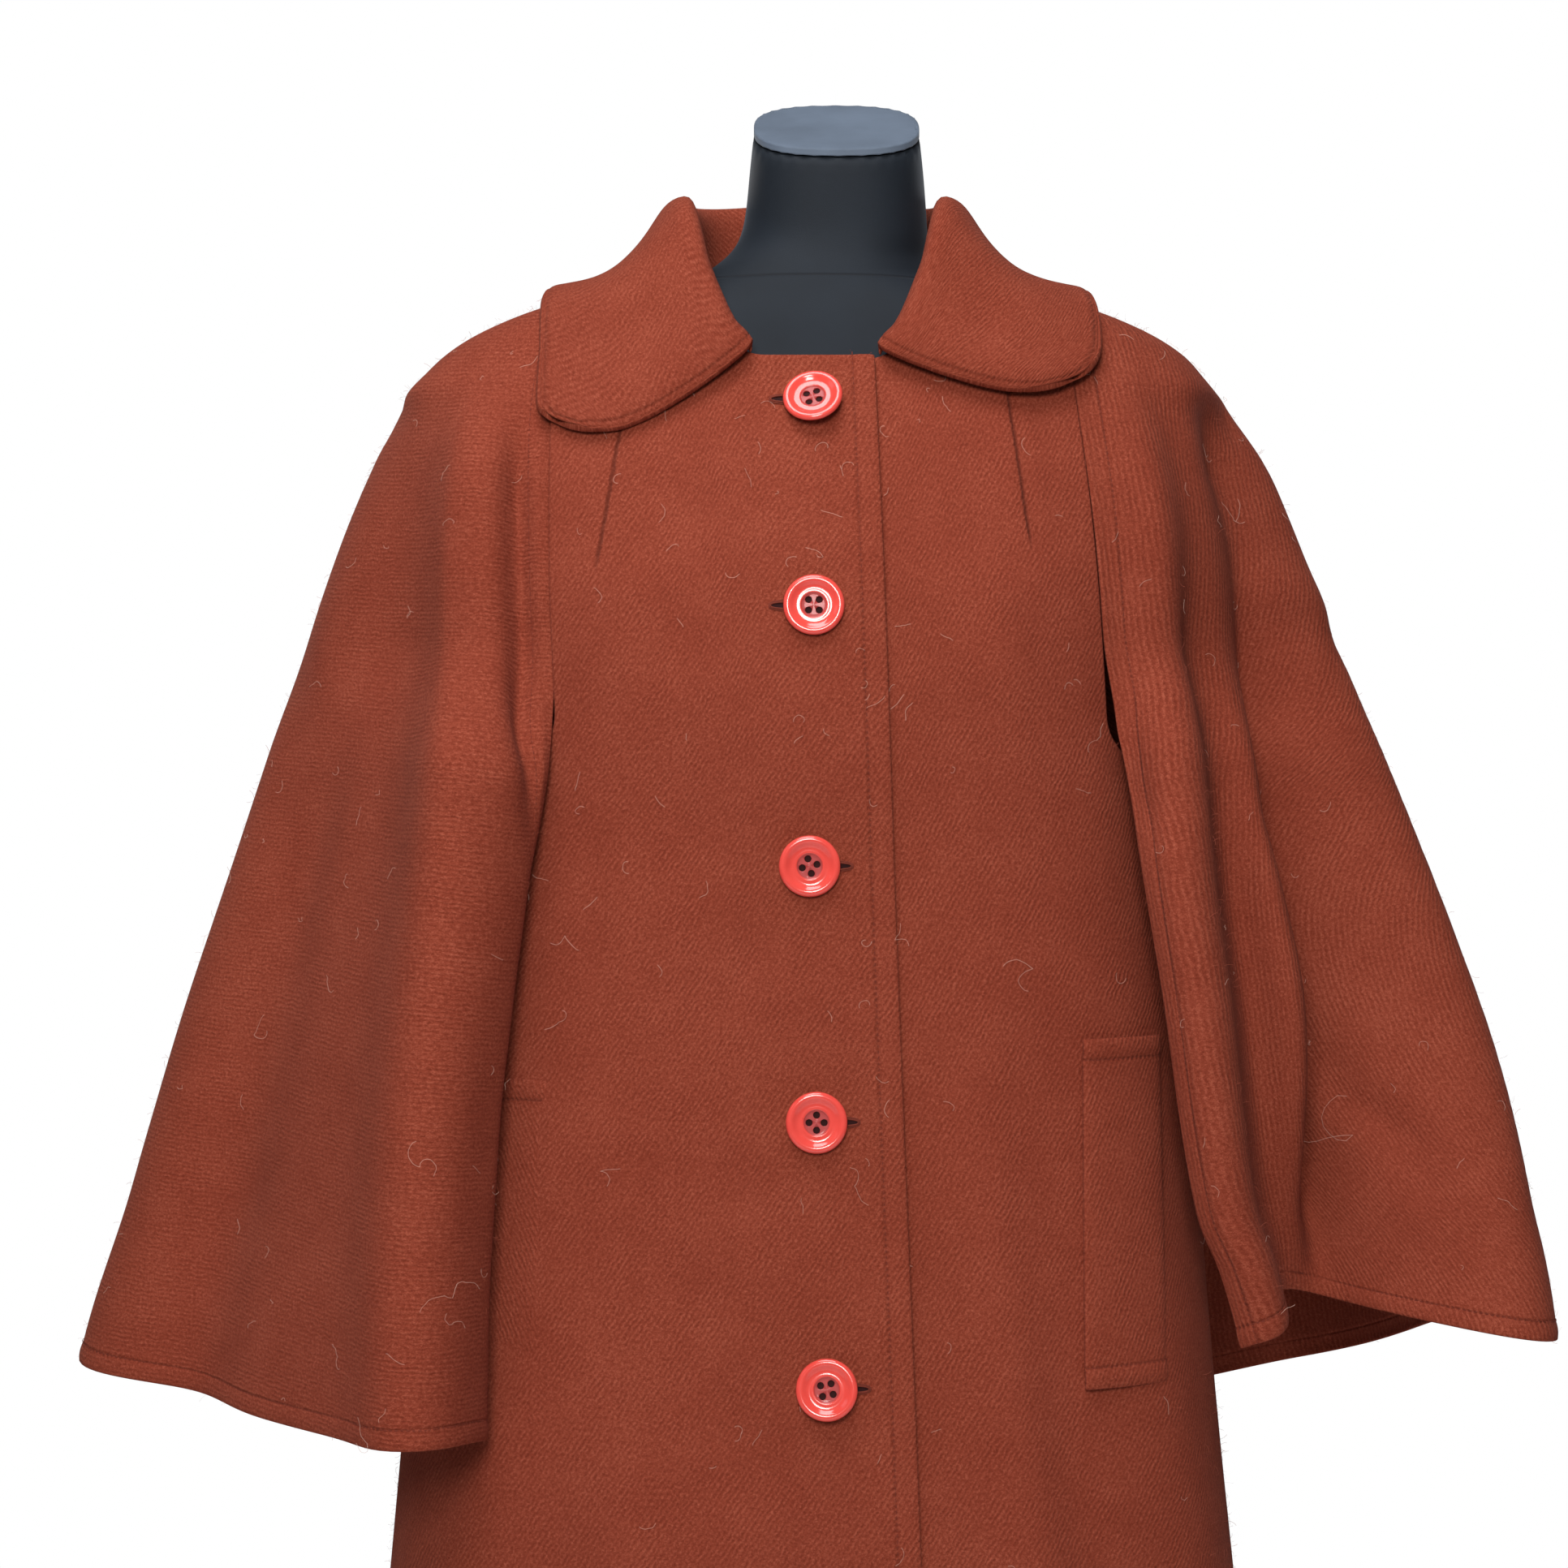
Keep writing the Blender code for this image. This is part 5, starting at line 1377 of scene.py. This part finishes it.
def front_at(x, z, lift):
    """Places on the overlapping front's outside, lifted off it."""
    points, normal = front_points[-1]
    flat = points.reshape(-1, 3)
    out = normal.reshape(-1, 3)
    found = []
    for one_x, one_z in zip(x, z):
        off = (flat[:, 0] - one_x) ** 2 + (flat[:, 2] - one_z) ** 2
        near = np.argsort(off)[:6]
        weight = 1 / (off[near] + 1e-7)
        weight = weight / weight.sum()
        y = (flat[near, 1] * weight).sum()
        found.append(np.array((one_x, y, one_z)) + lift * (out[near] * weight[:, None]).sum(axis=0))
    return np.array(found)


rims = []
# Each slit is filled with a near-black sheet: painted shadow inside the cut.
slit_shadows = bmesh.new()
for name, seat in button_seats.items():
    middle = seat[0] + SLIT_OFFSET[name]
    turn = np.linspace(0, 2 * math.pi, 49)
    for size, height, lift in ((1.0, 0.0021, 0.0006), (1.045, 0.0031, 0.0002)):
        x = middle + size * SLIT_LENGTH / 2 * np.sign(np.cos(turn)) * np.abs(np.cos(turn)) ** 0.6
        z = seat[2] + height * np.sign(np.sin(turn)) * np.abs(np.sin(turn)) ** 0.8
        rims.append(front_at(x, z, lift))
    x = middle + SLIT_LENGTH / 2 * np.cos(turn[:-1])
    z = seat[2] + 0.0017 * np.sin(turn[:-1])
    ring = [slit_shadows.verts.new(place) for place in front_at(x, z, 0.0003)]
    slit_shadows.faces.new(ring)
slit_shadow_data = plain_mesh("buttonhole_slit_shadows", slit_shadows)
slit_shadow_data.materials.append(PAINTED_SHADOW)
slit = in_scene("buttonhole_slit_shadows", slit_shadow_data)
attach(slit, "root")
grown("buttonhole_threads", paths_mesh("buttonhole_paths", rims), THREADS,
      {"Thread": 0.00055, "Sides": 6, "Finish": THREAD_DYE})


# Pale lint and loose curled hairs have caught on the brushed wool. Most are a centimetre long,
# and a few long ones lie over the cape and the skirt.
LINT_SEED = 11
LINT_COUNT = {"front": 90, "cape": 150, "collar": 14}
# The x, the height and the length of the hairs that the photo shows.
SEEN_HAIRS = ((-0.292, 0.972, 0.010), (-0.350, 0.935, 0.016), (-0.222, 0.872, 0.022),
              (-0.205, 0.800, 0.030), (-0.282, 0.755, 0.012), (-0.252, 0.722, 0.018),
              (-0.148, 1.007, 0.014), (-0.148, 0.953, 0.012),
              (-0.131, 0.865, 0.014), (0.126, 0.982, 0.024), (0.330, 0.868, 0.060), (0.020, 0.860, 0.016),
              (0.270, 1.256, 0.018), (0.052, 1.000, 0.012), (0.170, 1.120, 0.014))


def curled_hair(random, start, out, length):
    """A loose curl that lies on the cloth, a little off it."""
    steps = 10
    side = np.cross(out, (0.0, 0.0, 1.0))
    side = side / (np.linalg.norm(side) + 1e-9)
    up = np.cross(side, out)
    heading = random.uniform(0, 2 * math.pi)
    bend = random.uniform(-1, 1) * 4.0
    place = np.array(start, float)
    hair = []
    for i in range(steps):
        lift = 0.0008 + 0.0012 * abs(math.sin(3 * i / steps + heading))
        hair.append(place + out * lift)
        heading += bend / steps + random.normal(0, 0.22)
        place = place + (side * math.cos(heading) + up * math.sin(heading)) * length / steps
    return np.array(hair)


def scattered_hairs(points, normal, count, seed):
    """Curls at random over a piece of cloth."""
    random = np.random.default_rng(seed)
    hairs = []
    for _ in range(count):
        i = random.integers(4, points.shape[0] - 4)
        j = random.integers(4, points.shape[1] - 4)
        hairs.append(curled_hair(random, points[i, j], normal[i, j], random.uniform(0.004, 0.016)))
    return hairs


lint = []
for side in (-1, 1):
    lint += scattered_hairs(*front_points[side], LINT_COUNT["front"], LINT_SEED + side)
    lint += scattered_hairs(*cape_points[side], LINT_COUNT["cape"], LINT_SEED + 5 + side)
lint += scattered_hairs(*collar_points, LINT_COUNT["collar"], LINT_SEED + 9)
random = np.random.default_rng(LINT_SEED)
outside = [front_points[-1], front_points[1], cape_points[-1], cape_points[1]]
every_point = np.concatenate([points.reshape(-1, 3) for points, normal in outside])
every_normal = np.concatenate([normal.reshape(-1, 3) for points, normal in outside])
for x, z, length in SEEN_HAIRS:
    off = (every_point[:, 0] - x) ** 2 + (every_point[:, 2] - z) ** 2
    near = np.flatnonzero(off < 0.007 ** 2)
    best = near[np.argmin(every_point[near, 1])]
    for _ in range(2):
        lint.append(curled_hair(random, every_point[best], every_normal[best], length))
grown("lint_hairs", paths_mesh("lint_paths", lint), THREADS,
      {"Thread": 0.00009, "Sides": 3, "Finish": LINT})


# The floor is a plain pale sheet. One large soft lamp stands beside the camera, a second hangs
# above, and weaker ones from the sides and behind draw the outline, in a pale room.
FLOOR = 2.2
floor_data = bpy.data.meshes.new("floor")
floor_data.from_pydata([(-FLOOR, -FLOOR, 0), (FLOOR, -FLOOR, 0), (FLOOR, FLOOR, 0), (-FLOOR, FLOOR, 0)],
                       [], [(0, 1, 2, 3)])
floor = in_scene("floor", floor_data)
floor_look, _, floor_shader = new_material("floor_paper", 0.8)
floor_shader.inputs["Base Color"].default_value = (0.86, 0.86, 0.87, 1)
floor_data.materials.append(floor_look)
floor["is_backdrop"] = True

LAMPS = (
    ("front_lamp", (-0.20, -2.6, 1.9), 0.8, 48, (1.0, 0.97, 0.94)),
    ("top_lamp", (-0.25, -0.9, 3.0), 1.2, 38, (0.96, 0.97, 1.0)),
    ("window", (-2.3, -0.9, 2.4), 0.9, 2.5, (0.80, 0.88, 1.0)),
    ("left_edge", (-1.5, 1.9, 1.5), 0.8, 12, (1.0, 0.90, 0.82)),
    ("right_edge", (1.5, 1.9, 1.5), 0.8, 10, (0.95, 0.96, 1.0)),
)
for name, place, size, watts, colour in LAMPS:
    light = bpy.data.lights.new(name, "AREA")
    light.size = size
    light.energy = watts
    light.color = colour
    lamp = bpy.data.objects.new(name, light)
    lamp.location = place
    way = mathutils.Vector((0.0, 0.0, 1.05)) - mathutils.Vector(place)
    lamp.rotation_euler = way.to_track_quat("-Z", "Y").to_euler()
    bpy.context.collection.objects.link(lamp)

# The room gives less light than it shows, so that the background stays white.
ROOM_LIGHT = 0.08
world = bpy.data.worlds.new("pale_room")
world.use_nodes = True
room = world.node_tree
room.nodes["Background"].inputs[0].default_value = (0.93, 0.95, 1.0, 1)
room.nodes["Background"].inputs[1].default_value = ROOM_LIGHT
seen = node(room, "ShaderNodeBackground", {0: (1.0, 1.0, 1.0, 1), 1: 1.0})
path = node(room, "ShaderNodeLightPath")
mixed = node(room, "ShaderNodeMixShader", {0: path.outputs["Is Camera Ray"],
                                           1: room.nodes["Background"].outputs[0], 2: seen.outputs[0]})
room.links.new(mixed.outputs[0], room.nodes["World Output"].inputs[0])
bpy.context.scene.world = world

size = {"cad": [list(map(float, corner)) for corner in cad_box],
        "scene": [list(map(float, corner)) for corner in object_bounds()]}
